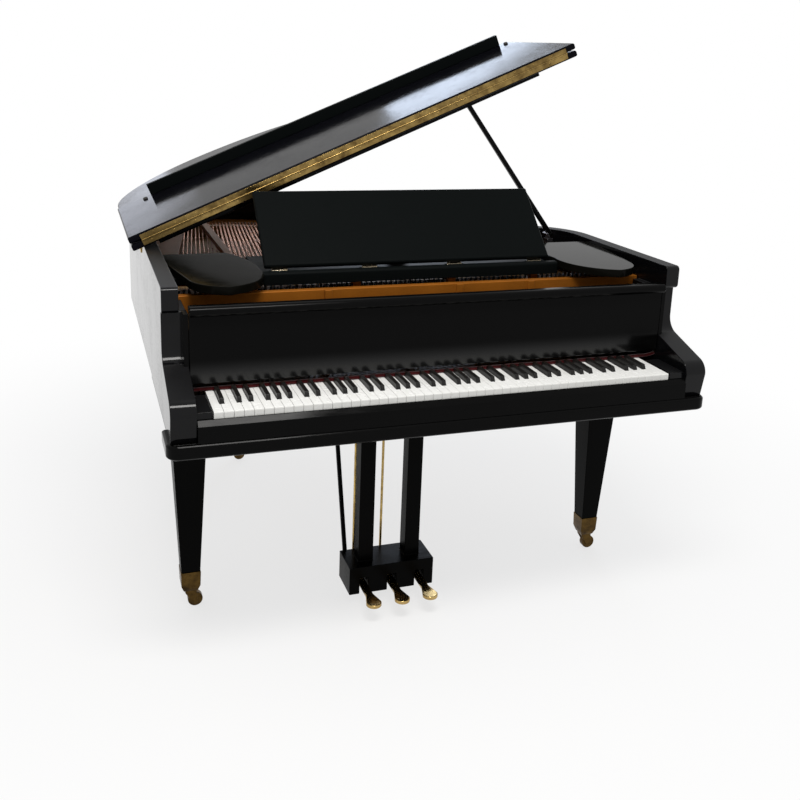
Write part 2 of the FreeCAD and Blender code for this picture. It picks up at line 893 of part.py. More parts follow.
def dampers():
    """One felt wedge on each string that is damped, clear of the plate's struts."""
    clear = strut_width / 2 + damper_width
    blocks = []
    for note in range(damper_count):
        start, end = string_start(note), string_end(note)
        share = (damper_line - start.y) / (end.y - start.y)
        x = start.x + (end.x - start.x) * share
        if min(abs(x - case_half * strut) for strut in strut_shares) < clear:
            continue
        bass = note < bass_note_count
        rise = bass_string_rise + bass_string / 2 if bass else treble_string_rise + treble_string / 2
        low = plate_top + rise + fit
        high = low + damper_height
        wedge = polygon([V(x, damper_line, low), V(x + damper_width / 2, damper_line, high),
                         V(x - damper_width / 2, damper_line, high)])
        blocks.append(wedge.extrude(V(0, damper_length, 0)))
    return Part.makeCompound(blocks)


def back_beams():
    """Belly rail, beams below the soundboard and the block that takes the rear leg."""
    rear = belly_front + belly_depth
    beam_top = beam_bottom + beam_height
    belly = box(-inner_half, inner_half, belly_front, rear, beam_bottom, soundboard_bottom)
    inside = plan_solid(rim_wall + liner_wall + fit, rear, beam_bottom, beam_top)
    pieces = [belly]
    for share in beam_shares:
        middle = share * case_half
        beam = box(middle - beam_width / 2, middle + beam_width / 2, rear, case_length, beam_bottom,
                   beam_top)
        pieces.append(beam.common(inside))
    half = leg_block / 2
    pieces.append(box(rear_leg_x - half, rear_leg_x + half, rear_leg_y - half, rear_leg_y + half,
                      keybed_top, beam_bottom))
    return Part.makeCompound(pieces)


def desk_shape(shape):
    """Lean a desk piece, drawn with the desk upright in front of its hinge line."""
    turned = shape.copy()
    turned.rotate(V(0, desk_axis_y, desk_axis_z), X_AXIS, desk_angle - 90)
    return turned


def music_shelf():
    """The board behind the desk, with its front lip, hinge ears and the two arms to the rim."""
    top = shelf_bottom + shelf_thickness
    pieces = [box(-shelf_half_width, shelf_half_width, shelf_front, shelf_rear, shelf_bottom, top)]
    lip = box(-shelf_half_width, shelf_half_width, shelf_front, shelf_front + shelf_lip_depth, top,
              top + shelf_lip_height)
    crest = [edge for edge in lip.Edges if edge.BoundBox.ZMin > top and edge.BoundBox.XLength > overrun]
    pieces.append(lip.makeFillet(shelf_lip_round, crest))
    for sign in (-1, 1):
        ends = sorted((sign * shelf_half_width, sign * inner_half))
        pieces.append(box(ends[0], ends[1], arm_bar_front, arm_bar_rear, shelf_bottom,
                          shelf_bottom + arm_bar_thickness))
    half = desk_knuckle_length / 2 + pivot_gap
    for share in desk_knuckle_shares:
        middle = share * desk_half_width
        for sign in (-1, 1):
            ends = sorted((middle + sign * half, middle + sign * (half + desk_ear_thickness)))
            pieces.append(box(ends[0], ends[1], desk_axis_y - desk_knuckle_radius,
                              desk_axis_y + desk_knuckle_radius, top, desk_axis_z + desk_knuckle_radius))
    return fuse(pieces)


def wing(sign):
    """One rounded side shelf between the rim and the music desk."""
    bottom = shelf_bottom + arm_bar_thickness

    def at(shares):
        return V(sign * (inner_half - wing_width * shares[0]), wing_front + wing_depth * shares[1], bottom)

    sides = [at(shares) for shares in wing_side_shares]
    curve = [sides[-1]] + [at(shares) for shares in wing_curve_shares]
    edges = outline(sides)
    for first in range(0, len(curve) - 1, 2):
        edges.append(arc(curve[first:first + 3]))
    edges += outline([curve[-1], sides[0]])
    return stretch(edges, V(0, 0, wing_thickness))


def side_shelves():
    return Part.makeCompound([wing(-1), wing(1)])


def music_desk():
    front = desk_axis_y - desk_back_gap - desk_thickness
    low = desk_axis_z + desk_heel
    panel = box(-desk_half_width, desk_half_width, front, front + desk_thickness, low, low + desk_height)
    return desk_shape(panel.makeChamfer(desk_chamfer, panel.Edges))


def desk_hinges():
    """Leaves and knuckles along the desk's foot, and the two lugs that hold its strut."""
    back = desk_axis_y - desk_back_gap
    low = desk_axis_z + desk_heel
    half = desk_knuckle_length / 2
    web_half = desk_leaf_thickness / 2
    pieces = []
    for share in desk_knuckle_shares:
        left = share * desk_half_width - half
        right = share * desk_half_width + half
        barrel = cylinder(desk_knuckle_radius, V(left, desk_axis_y, desk_axis_z),
                          V(right, desk_axis_y, desk_axis_z))
        leaf = box(left, right, back, back + desk_leaf_thickness, desk_axis_z, low + desk_leaf_length)
        web = box(left, right, back, desk_axis_y, desk_axis_z - web_half, desk_axis_z + web_half)
        pieces.append(fuse([barrel, leaf, web]))
    inner = desk_strut_width / 2 + running_gap
    pivot = desk_axis_z + strut_arm
    reach = desk_strut_thickness / 2
    for sign in (-1, 1):
        ends = sorted((sign * inner, sign * (inner + strut_lug_thickness)))
        lug = box(ends[0], ends[1], back, desk_axis_y + reach, pivot - reach, pivot + reach)
        pin = rod(desk_pin_radius, V(sign * (inner - overrun), desk_axis_y, pivot),
                  V(sign * inner, desk_axis_y, pivot))
        pieces.append(fuse([lug, pin]))
    return desk_shape(Part.makeCompound(pieces))


def desk_strut():
    """A flat leg from the back of the desk to the shelf, as long as its pivot is from the hinge."""
    lean = math.radians(desk_angle)
    half = desk_strut_width / 2
    head = V(0, desk_axis_y + strut_arm * math.cos(lean), desk_axis_z + strut_arm * math.sin(lean))
    round_end = desk_strut_thickness / 2
    across = V(half, 0, 0)
    foot = head.sub(V(0, 0, strut_arm))
    bar = box(-half, half, head.y - round_end, head.y + round_end, foot.z, head.z)
    leg = fuse([bar, rod(round_end, head.sub(across), head.add(across)),
                rod(round_end, foot.sub(across), foot.add(across))])
    leg = leg.cut(cylinder(desk_pin_radius + pivot_gap, head.sub(across), head.add(across)))
    leg.rotate(head, X_AXIS, 90 - desk_angle)
    return leg


def eased_board(board):
    """A lid board with its long upper and lower edges eased."""
    flat = [edge for edge in board.Edges if edge.BoundBox.ZLength < fit]
    return board.makeChamfer(lid_edge_chamfer, flat)


def lid_main():
    board = plan_solid(-lid_overhang, flap_line, lid_bottom, lid_top, -lid_bass_overhang)
    return open_lid(eased_board(board))


def flap_rear():
    """The flap's hinged edge when it lies closed."""
    return flap_axis_y - flap_axis_reach


def lid_flap():
    rear = flap_rear()
    board = box(lid_left, lid_right, rear - flap_depth, rear, lid_bottom, lid_top)
    corners = [e for e in board.Edges if e.BoundBox.ZLength > fit and e.BoundBox.YMax < rear]
    board = board.makeFillet(flap_corner, corners)
    return fold_flap(eased_board(board))


def flap_lip():
    rear = flap_rear() - lip_setback
    lip = box(lid_left + lip_bass_inset, lid_right - lip_treble_inset, rear - lip_thickness, rear,
              lid_bottom - lip_height, lid_bottom)
    return fold_flap(lip)


def hinge_leaf(near, far):
    high = flap_axis_z - hinge_pin_radius - pivot_gap
    return box(lid_left + hinge_leaf_inset, lid_right - hinge_leaf_inset, near, far,
               high - hinge_leaf_height, high)


def lid_leaves():
    """Brass on the main lid: one leaf of the long hinge with its pin, and the butt hinge leaves."""
    leaf = hinge_leaf(flap_line - hinge_leaf_thickness, flap_line)
    pin = cylinder(hinge_pin_radius, V(lid_left + hinge_leaf_inset, flap_axis_y, flap_axis_z),
                   V(lid_right - hinge_leaf_inset, flap_axis_y, flap_axis_z))
    web = box(lid_left + hinge_leaf_inset, lid_right - hinge_leaf_inset, flap_axis_y, flap_line,
              lid_top - flap_fold_gap / 2 - hinge_leaf_thickness, flap_axis_z)
    pieces = [fuse([leaf, pin, web])]
    for share in butt_shares:
        start = case_length * share + butt_hinge_length
        end = start + butt_hinge_length / 2
        knuckle = cylinder(butt_barrel_radius, V(lid_axis_x, start + running_gap, lid_axis_z),
                           V(lid_axis_x, end, lid_axis_z))
        plate = box(lid_axis_x - butt_leaf_thickness, lid_axis_x, start + running_gap, end, lid_axis_z,
                    lid_bottom)
        pieces.append(fuse([knuckle, plate]))
    return open_lid(Part.makeCompound(pieces))


def flap_leaf():
    rear = flap_rear()
    return fold_flap(hinge_leaf(rear, rear + hinge_leaf_thickness))


def lid_battens():
    """The batten under the main lid's front edge, and the block that takes the prop's tip."""
    front = flap_line + batten_lead
    batten = box(lid_left + batten_bass_inset, lid_right - batten_treble_inset, front, front + batten_width,
                 lid_bottom - batten_thickness, lid_bottom)
    middle = lid_axis_x + prop_reach_along_lid()
    half = socket_size / 2
    socket = box(middle - half, middle + half, prop_foot_y - half, prop_foot_y + half,
                 lid_bottom - socket_thickness, lid_bottom)
    return open_lid(Part.makeCompound([batten, socket]))


def lid_hinges():
    """The fixed halves of the butt hinges on the bass side."""
    pieces = []
    for share in butt_shares:
        start = case_length * share
        end = start + butt_hinge_length
        barrel = cylinder(butt_barrel_radius, V(lid_axis_x, start, lid_axis_z),
                          V(lid_axis_x, end, lid_axis_z))
        leaf = box(-case_half - butt_leaf_thickness, -case_half, start, end, lid_axis_z - butt_hinge_drop,
                   lid_axis_z + butt_leaf_thickness)
        pieces.append(fuse([barrel, leaf]))
    return Part.makeCompound(pieces)


def prop_length():
    """From the prop's pivot to just under the socket block of the open lid."""
    lid = math.radians(lid_angle)
    lean = math.radians(prop_angle)
    from_axis_x = prop_foot_x - lid_axis_x
    from_axis_z = prop_foot_z - lid_axis_z
    height = from_axis_z * math.cos(lid) - from_axis_x * math.sin(lid)
    rise = math.sin(lean) * math.sin(lid) + math.cos(lean) * math.cos(lid)
    under = lid_bottom - lid_axis_z - socket_thickness
    tip_side = prop_depth / 2 * math.sin(lean - lid)
    return (under - height - tip_side - running_gap) / rise


def prop_reach_along_lid():
    """How far along the lid from its hinge line the prop's tip stands."""
    lid = math.radians(lid_angle)
    lean = math.radians(prop_angle)
    x = prop_foot_x - lid_axis_x - prop_length() * math.sin(lean)
    z = prop_foot_z - lid_axis_z + prop_length() * math.cos(lean)
    return x * math.cos(lid) + z * math.sin(lid)


def lean_prop(shape):
    """Set a prop piece, drawn upright on the origin, leaning on its pivot."""
    turned = shape.copy()
    turned.rotate(V(0, 0, 0), Y_AXIS, -prop_angle)
    turned.translate(V(prop_foot_x, prop_foot_y, prop_foot_z))
    return turned


def prop_stick():
    """A tapered stick with an eye at its foot."""
    half = prop_depth / 2
    low = prop_width / 2
    high = prop_tip_width / 2
    top = prop_length()
    points = [V(-half, -low, 0), V(-half, low, 0), V(-half, high, top), V(-half, -high, top)]
    stick = polygon(points).extrude(V(prop_depth, 0, 0))
    eye = cylinder(prop_eye_radius, V(-half, 0, 0), V(half, 0, 0))
    bore = cylinder(prop_pin_radius + pivot_gap, V(-prop_width, 0, 0), V(prop_width, 0, 0))
    return lean_prop(fuse([stick, eye]).cut(bore))


def prop_bracket():
    """A post on the plate whose ear and pin carry the prop's eye."""
    half = prop_depth / 2
    ear = box(-half - running_gap - prop_ear_thickness, -half - running_gap, -prop_ear_half, prop_ear_half,
              -prop_ear_half - prop_ear_thickness, prop_ear_half)
    pin = rod(prop_pin_radius, V(-half - prop_ear_thickness, 0, 0), V(half, 0, 0))
    left = prop_foot_x - prop_post_width / 2 - prop_pin_radius
    top = prop_foot_z - prop_eye_radius - prop_pin_radius
    post = box(left, left + prop_post_width, prop_foot_y - prop_ear_half, prop_foot_y + prop_ear_half,
               plate_top, top)
    return fuse([post, lean_prop(ear), lean_prop(pin)])


def leg(x, y, top):
    """A square tapered leg with a flared head, its foot let into the ferrule."""
    shoulder = top - leg_flare_height
    shaft = frustum(x, y, ferrule_top, leg_foot_width, shoulder, leg_top_width)
    head = frustum(x, y, shoulder, leg_top_width, top, leg_top_width + leg_flare + leg_flare)
    tenon = leg_foot_width - ferrule_wall - ferrule_wall
    stub = frustum(x, y, ferrule_top - ferrule_sink, tenon, ferrule_top, tenon)
    return fuse([head, shaft, stub])


def ferrule(x, y):
    """A square brass cup on a leg's foot, drawn in below to the caster's socket."""
    mouth = leg_foot_width + ferrule_proud + ferrule_proud
    neck = ferrule_bottom + ferrule_neck
    upper = frustum(x, y, neck, leg_foot_width, ferrule_top, mouth)
    lower = frustum(x, y, ferrule_bottom, leg_foot_width - ferrule_taper - ferrule_taper, neck,
                    leg_foot_width)
    tenon = leg_foot_width - ferrule_wall - ferrule_wall
    hollow = frustum(x, y, ferrule_top - ferrule_sink, tenon, ferrule_top + overrun, tenon)
    socket = cylinder(stem_radius + pivot_gap, V(x, y, ferrule_bottom - overrun),
                      V(x, y, ferrule_bottom + stem_length))
    return fuse([upper, lower]).cut(hollow).cut(socket)


def caster_fork(x, y):
    """Two cheeks and a crown below the stem, trailing to the treble side, with the wheel's axle."""
    wheel_x = x + caster_trail
    gap = wheel_width / 2 + fork_clearance
    out = gap + fork_wall
    foot = axle_radius + fork_wall
    crown_bottom = fork_top - fork_crown
    pieces = [box(x - out, wheel_x + fork_wall, y - out, y + out, crown_bottom, fork_top)]
    for sign in (-1, 1):
        near, far = sorted((y + sign * gap, y + sign * out))
        cheek = polygon([V(x - out, near, crown_bottom), V(wheel_x - foot, near, wheel_radius - foot),
                         V(wheel_x + foot, near, wheel_radius - foot),
                         V(wheel_x + fork_wall, near, crown_bottom)])
        pieces.append(cheek.extrude(V(0, far - near, 0)))
    pieces.append(rod(axle_radius, V(wheel_x, y - out, wheel_radius), V(wheel_x, y + out, wheel_radius)))
    pieces.append(rod(stem_radius, V(x, y, crown_bottom), V(x, y, fork_top + stem_length)))
    return fuse(pieces)


def caster_wheel(x, y):
    wheel_x = x + caster_trail
    half = wheel_width / 2
    tyre = cylinder(wheel_radius, V(wheel_x, y - half, wheel_radius), V(wheel_x, y + half, wheel_radius))
    bore_radius = (axle_radius + pivot_gap) / math.cos(math.pi / rod_sides)
    bore = rod(bore_radius, V(wheel_x, y - wheel_width, wheel_radius),
               V(wheel_x, y + wheel_width, wheel_radius))
    return tyre.cut(bore)


def pedal_x(order):
    return lyre_x + (order - 1) * pedal_spread


def lyre_frame():
    """Top block, two posts and the pedal box, with a channel for each pedal and their pivot shaft."""
    front = lyre_y - pedal_box_depth / 2
    rear = lyre_y + pedal_box_depth / 2
    top_low = keybed_bottom - lyre_top_thickness
    box_top = pedal_box_bottom + pedal_box_height
    top = box(lyre_x - lyre_top_half, lyre_x + lyre_top_half, front, front + lyre_top_depth, top_low,
              keybed_bottom)
    base = box(lyre_x - pedal_box_half, lyre_x + pedal_box_half, front, rear, pedal_box_bottom, box_top)
    channel = pedal_width / 2 + pedal_side_gap
    for order in range(pedal_count):
        x = pedal_x(order)
        base = base.cut(box(x - channel, x + channel, front - overrun, rear + overrun,
                            pedal_box_bottom - overrun, pedal_pivot_z + pedal_headroom))
    pieces = [top, base]
    half = post_width / 2
    for sign in (-1, 1):
        middle = lyre_x + sign * post_spread / 2
        pieces.append(box(middle - half, middle + half, lyre_y - half, lyre_y + half, box_top, top_low))
    start = V(pedal_x(0) - pedal_width, pedal_pivot_y, pedal_pivot_z)
    end = V(pedal_x(pedal_count - 1) + pedal_width, pedal_pivot_y, pedal_pivot_z)
    pieces.append(rod(pedal_pin_radius, start, end))
    return fuse(pieces)


def pedal(order):
    """A brass lever on the pivot shaft: rounded toe in front, straight shank and a tail under its rod."""
    x = pedal_x(order)
    half = pedal_width / 2
    low = pedal_pivot_z - pedal_thickness / 2
    high = pedal_pivot_z + pedal_thickness / 2
    tip = pedal_pivot_y - pedal_reach
    toe_rear = tip + pedal_tip_length
    shank = box(x - half, x + half, toe_rear - half, pedal_pivot_y + pedal_tail, low, high)
    toe_half = pedal_tip_width / 2
    neck_left = V(x - half, toe_rear, low)
    neck_right = V(x + half, toe_rear, low)
    side_left = V(x - toe_half, tip + toe_half, low)
    side_right = V(x + toe_half, tip + toe_half, low)
    edges = [arc([side_right, V(x, tip, low), side_left])]
    edges += outline([side_left, neck_left, neck_right, side_right])
    toe = stretch(edges, V(0, 0, pedal_thickness))
    bore = cylinder(pedal_pin_radius + pivot_gap, V(x - pedal_width, pedal_pivot_y, pedal_pivot_z),
                    V(x + pedal_width, pedal_pivot_y, pedal_pivot_z))
    return fuse([shank, toe]).cut(bore)


def pedal_rod(order):
    return rod(rod_radius, V(pedal_x(order), rod_y, rod_bottom), V(pedal_x(order), rod_y, rod_top))


def lyre_braces():
    """Two slanting sticks from the back of the pedal box up to the keybed."""
    rear = lyre_y + pedal_box_depth / 2
    low = pedal_box_bottom + brace_foot_height
    rise = keybed_bottom - low
    cut = brace_width / math.cos(math.atan2(rise, brace_run))
    top_front = rear + brace_run * (rise - cut) / rise
    points = [(rear, low), (rear, low + cut), (top_front, keybed_bottom), (rear + brace_run, keybed_bottom)]
    half = brace_width / 2
    sticks = []
    for sign in (-1, 1):
        x = lyre_x + sign * brace_spread / 2
        sticks.append(side_prism(points, x - half, x + half))
    return Part.makeCompound(sticks)


def leg_places():
    return (("left", -front_leg_x, front_leg_y, keybed_bottom),
            ("right", front_leg_x, front_leg_y, keybed_bottom),
            ("rear", rear_leg_x, rear_leg_y, keybed_top))


def single_keys():
    """The five keys in the middle of the keyboard that dip one by one."""
    first = bass_natural_count
    keys = {}
    for place, letter in enumerate("cde"):
        keys["middle_" + letter + "_key"] = natural_key(first + place)
    for place, letter in enumerate("cd"):
        keys["middle_" + letter + "_sharp_key"] = sharp_key(first + place)
    return keys


def all_pieces():
    """Every piece by name, in the building frame."""
    treble_first = bass_natural_count + single_natural_count
    pieces = {
        "case_rim": case_rim(),
        "keybed": keybed(),
        "base_moulding": base_moulding(),
        "key_slip": key_slip(),
        "key_blocks": key_blocks(),
        "back_beams": back_beams(),
        "soundboard": soundboard(),
        "bridges": bridges(),
        "iron_plate": iron_plate(),
        "pin_block": pin_block(),
        "tuning_pins": tuning_pins(),
        "treble_strings": treble_strings(),
        "bass_strings": bass_strings(),
        "dampers": dampers(),
        "hammer_row": hammer_row(),
        "key_frame": key_frame(),
        "bass_natural_keys": natural_bank(0, bass_natural_count),
        "bass_sharp_keys": sharp_bank(0, bass_natural_count),
        "treble_natural_keys": natural_bank(treble_first, natural_count),
        "treble_sharp_keys": sharp_bank(treble_first - 1, natural_count),
        "fallboard": fallboard(),
        "felt_rail": felt_rail(),
        "red_felt": red_felt(),
        "music_shelf": music_shelf(),
        "side_shelves": side_shelves(),
        "music_desk": music_desk(),
        "desk_hinges": desk_hinges(),
        "desk_strut": desk_strut(),
        "lid_main": lid_main(),
        "lid_battens": lid_battens(),
        "lid_flap": lid_flap(),
        "flap_lip": flap_lip(),
        "lid_leaves": lid_leaves(),
        "flap_leaf": flap_leaf(),
        "lid_hinges": lid_hinges(),
        "prop_stick": prop_stick(),
        "prop_bracket": prop_bracket(),
        "lyre_frame": lyre_frame(),
        "lyre_braces": lyre_braces(),
    }
    pieces.update(single_keys())
    for order, name in enumerate(("left", "middle", "right")):
        pieces[name + "_pedal"] = pedal(order)
        pieces[name + "_pedal_rod"] = pedal_rod(order)
    for name, x, y, top in leg_places():
        pieces[name + "_leg"] = leg(x, y, top)
        pieces[name + "_caster_fork"] = caster_fork(x, y)
        pieces[name + "_caster_wheel"] = caster_wheel(x, y)
    pieces["ferrules"] = Part.makeCompound([ferrule(x, y) for _, x, y, _ in leg_places()])
    return pieces


def standing_shift(pieces):
    """The move that sets the middle of the whole part's floor area on the origin."""
    around = FreeCAD.BoundBox()
    for shape in pieces.values():
        around.add(shape.optimalBoundingBox(False, False))
    return V(-around.Center.x, -around.Center.y, -around.ZMin)


def export_all():
    os.makedirs("parts", exist_ok=True)
    pieces = all_pieces()
    shift = standing_shift(pieces)
    for name, shape in pieces.items():
        shape.translate(shift)
        shape.exportStep("parts/" + name + ".step")


if __name__ == "__main__":
    export_all()
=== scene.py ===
import json
import math

import bmesh
import bpy
from mathutils import Matrix, Vector


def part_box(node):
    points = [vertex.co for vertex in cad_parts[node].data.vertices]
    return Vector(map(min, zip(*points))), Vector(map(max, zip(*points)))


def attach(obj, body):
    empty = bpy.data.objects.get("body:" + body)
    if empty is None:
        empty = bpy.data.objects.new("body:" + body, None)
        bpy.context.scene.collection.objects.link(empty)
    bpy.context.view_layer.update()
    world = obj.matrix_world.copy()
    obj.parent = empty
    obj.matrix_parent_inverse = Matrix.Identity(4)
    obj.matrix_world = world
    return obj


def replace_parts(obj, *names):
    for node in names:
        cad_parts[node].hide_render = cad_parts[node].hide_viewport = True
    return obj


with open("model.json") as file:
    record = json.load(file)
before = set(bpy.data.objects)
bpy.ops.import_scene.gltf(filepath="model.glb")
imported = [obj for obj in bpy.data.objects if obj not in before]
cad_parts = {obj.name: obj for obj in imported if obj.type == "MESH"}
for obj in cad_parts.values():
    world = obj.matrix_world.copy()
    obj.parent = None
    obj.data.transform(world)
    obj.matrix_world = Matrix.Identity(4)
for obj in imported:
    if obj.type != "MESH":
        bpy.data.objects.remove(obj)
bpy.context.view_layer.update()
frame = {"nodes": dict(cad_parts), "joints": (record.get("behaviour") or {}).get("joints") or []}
scene = bpy.context.scene
scene.view_settings.view_transform = "Standard"

# The place to look from. The camera stands to the left of the keyboard at about standing eye height, and
# is set out from the middle of the white keys' fronts, with its frame shifted as the photograph's is.
bass_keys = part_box("bass_natural_keys")
treble_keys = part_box("treble_natural_keys")
key_front = bass_keys[0].y
keyboard_middle = Vector(((bass_keys[0].x + treble_keys[1].x) / 2, key_front, 0))
from_keyboard = Vector((-0.897, -2.034, 1.522))
right = Vector((0.9489, -0.3139, 0.0323))
forward = Vector((0.3124, 0.9203, -0.2356))
turn = Matrix((right, right.cross(forward), -forward)).transposed().to_4x4()
camera_data = bpy.data.cameras.new("photo_camera")
camera_data.sensor_width = 36.0
camera_data.lens = 42.02
camera_data.shift_x = 0.0185
camera_data.shift_y = -0.1376
camera = bpy.data.objects.new("photo_camera", camera_data)
scene.collection.objects.link(camera)
camera.matrix_world = Matrix.Translation(keyboard_middle + from_keyboard) @ turn
scene.camera = camera


# The studio: a pale floor and white all round, as the eye and the polish see it, with a softer level of
# light on the piano itself. One wide lamp hangs in front of the keyboard and above it, and two like
# windows stand behind the piano.
def put(tree, kind, inputs=None, **settings):
    """Add a shader node, set what it is, then fill or link its inputs."""
    made = tree.nodes.new("ShaderNode" + kind)
    for name, value in settings.items():
        setattr(made, name, value)
    for name, value in (inputs or {}).items():
        if isinstance(value, bpy.types.NodeSocket):
            tree.links.new(value, made.inputs[name])
        else:
            made.inputs[name].default_value = value
    return made


def combine(tree, operation, first, second):
    """Work out one value from two, such as their product or the larger of them."""
    return put(tree, "Math", {0: first, 1: second}, operation=operation).outputs[0]


def remap(tree, value, low, high, to_low=0.0, to_high=1.0, curve="LINEAR"):
    """Spread the part of a value between low and high over another range."""
    ends = {"Value": value, "From Min": low, "From Max": high, "To Min": to_low, "To Max": to_high}
    return put(tree, "MapRange", ends, interpolation_type=curve).outputs[0]


def rest_place(tree):
    """Where a point of the surface lies while the piano is at rest, in metres."""
    return put(tree, "TexCoord").outputs["Object"]


def seen_directly(tree):
    """1 for rays from the eye, from gloss and through glass, 0 for light that only illuminates."""
    path = put(tree, "LightPath").outputs
    eye_or_gloss = combine(tree, "MAXIMUM", path["Is Camera Ray"], path["Is Glossy Ray"])
    return combine(tree, "MAXIMUM", eye_or_gloss, path["Is Transmission Ray"])


studio_level = 0.62
white = (1, 1, 1, 1)
world = bpy.data.worlds.new("studio")
world.use_nodes = True
sky = world.node_tree
sky.nodes.clear()
light_level = remap(sky, seen_directly(sky), 0, 1, to_low=studio_level)
white_round = put(sky, "Background", {"Color": white, "Strength": light_level})
sky.links.new(white_round.outputs[0], put(sky, "OutputWorld").inputs["Surface"])
scene.world = world

floor_reach = 14.0
near_floor = 0.6
far_floor = 2.6
near_white = 0.70
floor_grey = (0.82, 0.82, 0.82, 1)
floor_corners = [(x * floor_reach, y * floor_reach, 0) for x, y in ((-1, -1), (1, -1), (1, 1), (-1, 1))]
floor_mesh = bpy.data.meshes.new("floor")
floor_mesh.from_pydata(floor_corners, [], [(0, 1, 2, 3)])
floor = bpy.data.objects.new("floor", floor_mesh)
scene.collection.objects.link(floor)
pale_floor = bpy.data.materials.new("pale_floor")
pale_floor.use_nodes = True
ground = pale_floor.node_tree
ground.nodes.clear()
lit = put(ground, "BsdfDiffuse", {"Color": floor_grey})
glow = put(ground, "Emission", {"Color": white, "Strength": 1.0})
away = put(ground, "VectorMath", {0: rest_place(ground)}, operation="LENGTH").outputs["Value"]
far_share = remap(ground, away, near_floor, far_floor, to_low=near_white, curve="SMOOTHSTEP")
white_share = combine(ground, "MULTIPLY", seen_directly(ground), far_share)
floor_mix = put(ground, "MixShader", {0: white_share, 1: lit.outputs[0], 2: glow.outputs[0]})
ground.links.new(floor_mix.outputs[0], put(ground, "OutputMaterial").inputs["Surface"])
floor_mesh.materials.append(pale_floor)


def lamp(name, place, target, size, watts, colour):
    """A flat soft lamp that looks at a point."""
    light = bpy.data.lights.new(name, "AREA")
    light.shape = "RECTANGLE"
    light.size, light.size_y = size
    light.energy = watts
    light.color = colour
    stand = bpy.data.objects.new(name, light)
    scene.collection.objects.link(stand)
    stand.location = place
    stand.rotation_euler = (Vector(target) - Vector(place)).to_track_quat("-Z", "Y").to_euler()
    stand.visible_camera = False


lamp("keyboard_lamp", place=(-0.4, -1.8, 3.1), target=(0.0, -0.6, 0.75), size=(1.3, 0.6), watts=62,
     colour=(1.0, 0.985, 0.96))
lamp("window_lamp", place=(1.44, 3.6, 2.45), target=(0.3, 0.0, 1.45), size=(1.4, 0.9), watts=22,
     colour=(0.70, 0.81, 1.0))
lamp("side_window", place=(-0.90, 3.7, 1.66), target=(-0.6, 0.0, 1.1), size=(0.6, 0.5), watts=2.0,
     colour=(0.80, 0.85, 1.0))


# The case: a bent laminated rim with its two arms, the keybed and base moulding below, the key slip and
# the key blocks. All are hardwood, glued up, with eased edges, under black lacquer rubbed out by hand. The
# rim and the key blocks are polished higher, apart from their tops, which are worn dull.
def shader_group(name, inputs, outputs):
    """An empty node group with number sockets; also its two end nodes."""
    tree = bpy.data.node_groups.new(name, "ShaderNodeTree")
    for label, value in inputs.items():
        socket = tree.interface.new_socket(label, in_out="INPUT", socket_type="NodeSocketFloat")
        socket.default_value = value
    for label in outputs:
        tree.interface.new_socket(label, in_out="OUTPUT", socket_type="NodeSocketFloat")
    return tree, tree.nodes.new("NodeGroupInput"), tree.nodes.new("NodeGroupOutput")


def give_out(tree, ends_out, **values):
    """Lead a group's results to its end node."""
    for name, value in values.items():
        tree.links.new(value, ends_out.inputs[name])


def noise(tree, vector, scale, detail=3.0, rough=0.5):
    """Cloudy noise between 0 and 1."""
    look = {"Vector": vector, "Scale": scale, "Detail": detail, "Roughness": rough}
    return put(tree, "TexNoise", look).outputs[0]


def stretched(tree, vector, scale, spin=(0, 0, 0)):
    """Places turned and scaled, so that a pattern on them runs one way."""
    return put(tree, "Mapping", {"Vector": vector, "Scale": scale, "Rotation": spin}).outputs[0]


polish_marks, ends_in, ends_out = shader_group("polish_marks", {"Cloud Scale": 4.0},
                                               ("Smudge", "Dust", "Ripple"))
place = rest_place(polish_marks)
clouds = noise(polish_marks, place, scale=ends_in.outputs["Cloud Scale"], detail=6, rough=0.62)
wiping = stretched(polish_marks, place, scale=(7, 46, 46), spin=(0, 0, 0.3))
wiped_clouds = combine(polish_marks, "MULTIPLY", clouds, noise(polish_marks, wiping, scale=3.0, detail=4))
give_out(polish_marks, ends_out,
         Smudge=remap(polish_marks, wiped_clouds, low=0.16, high=0.40),
         Dust=remap(polish_marks, noise(polish_marks, place, scale=620.0, detail=2), low=0.68, high=0.76),
         Ripple=noise(polish_marks, place, scale=160.0, detail=2))


def start_material(name):
    """A new material, with its node tree and its shader."""
    made = bpy.data.materials.new(name)
    made.use_nodes = True
    return made, made.node_tree, made.node_tree.nodes["Principled BSDF"]


def use_group(tree, kit, **values):
    """Place a node group in a material with its own values."""
    made = tree.nodes.new("ShaderNodeGroup")
    made.node_tree = kit
    for name, value in values.items():
        made.inputs[name.replace("_", " ")].default_value = value
    return made.outputs


def blend(tree, share, first, second):
    """The first colour where share is 0, the second where it is 1."""
    return put(tree, "MixRGB", {"Fac": share, "Color1": first, "Color2": second}).outputs[0]


def feed(tree, shader, **values):
    """Lead what varies over the surface to the shader."""
    for name, value in values.items():
        tree.links.new(value, shader.inputs[name.replace("_", " ")])


def bumpy(tree, shader, height, strength, depth):
    """Raise the surface by a pattern, to a depth in metres."""
    raised = put(tree, "Bump", {"Height": height, "Strength": strength, "Distance": depth})
    feed(tree, shader, Normal=raised.outputs[0])


def part_along(tree, vector, axis):
    """One of a vector's three numbers."""
    return put(tree, "SeparateXYZ", {"Vector": vector}).outputs[axis]


dust_colour = (0.10, 0.095, 0.09, 1)
dust_share = 0.10


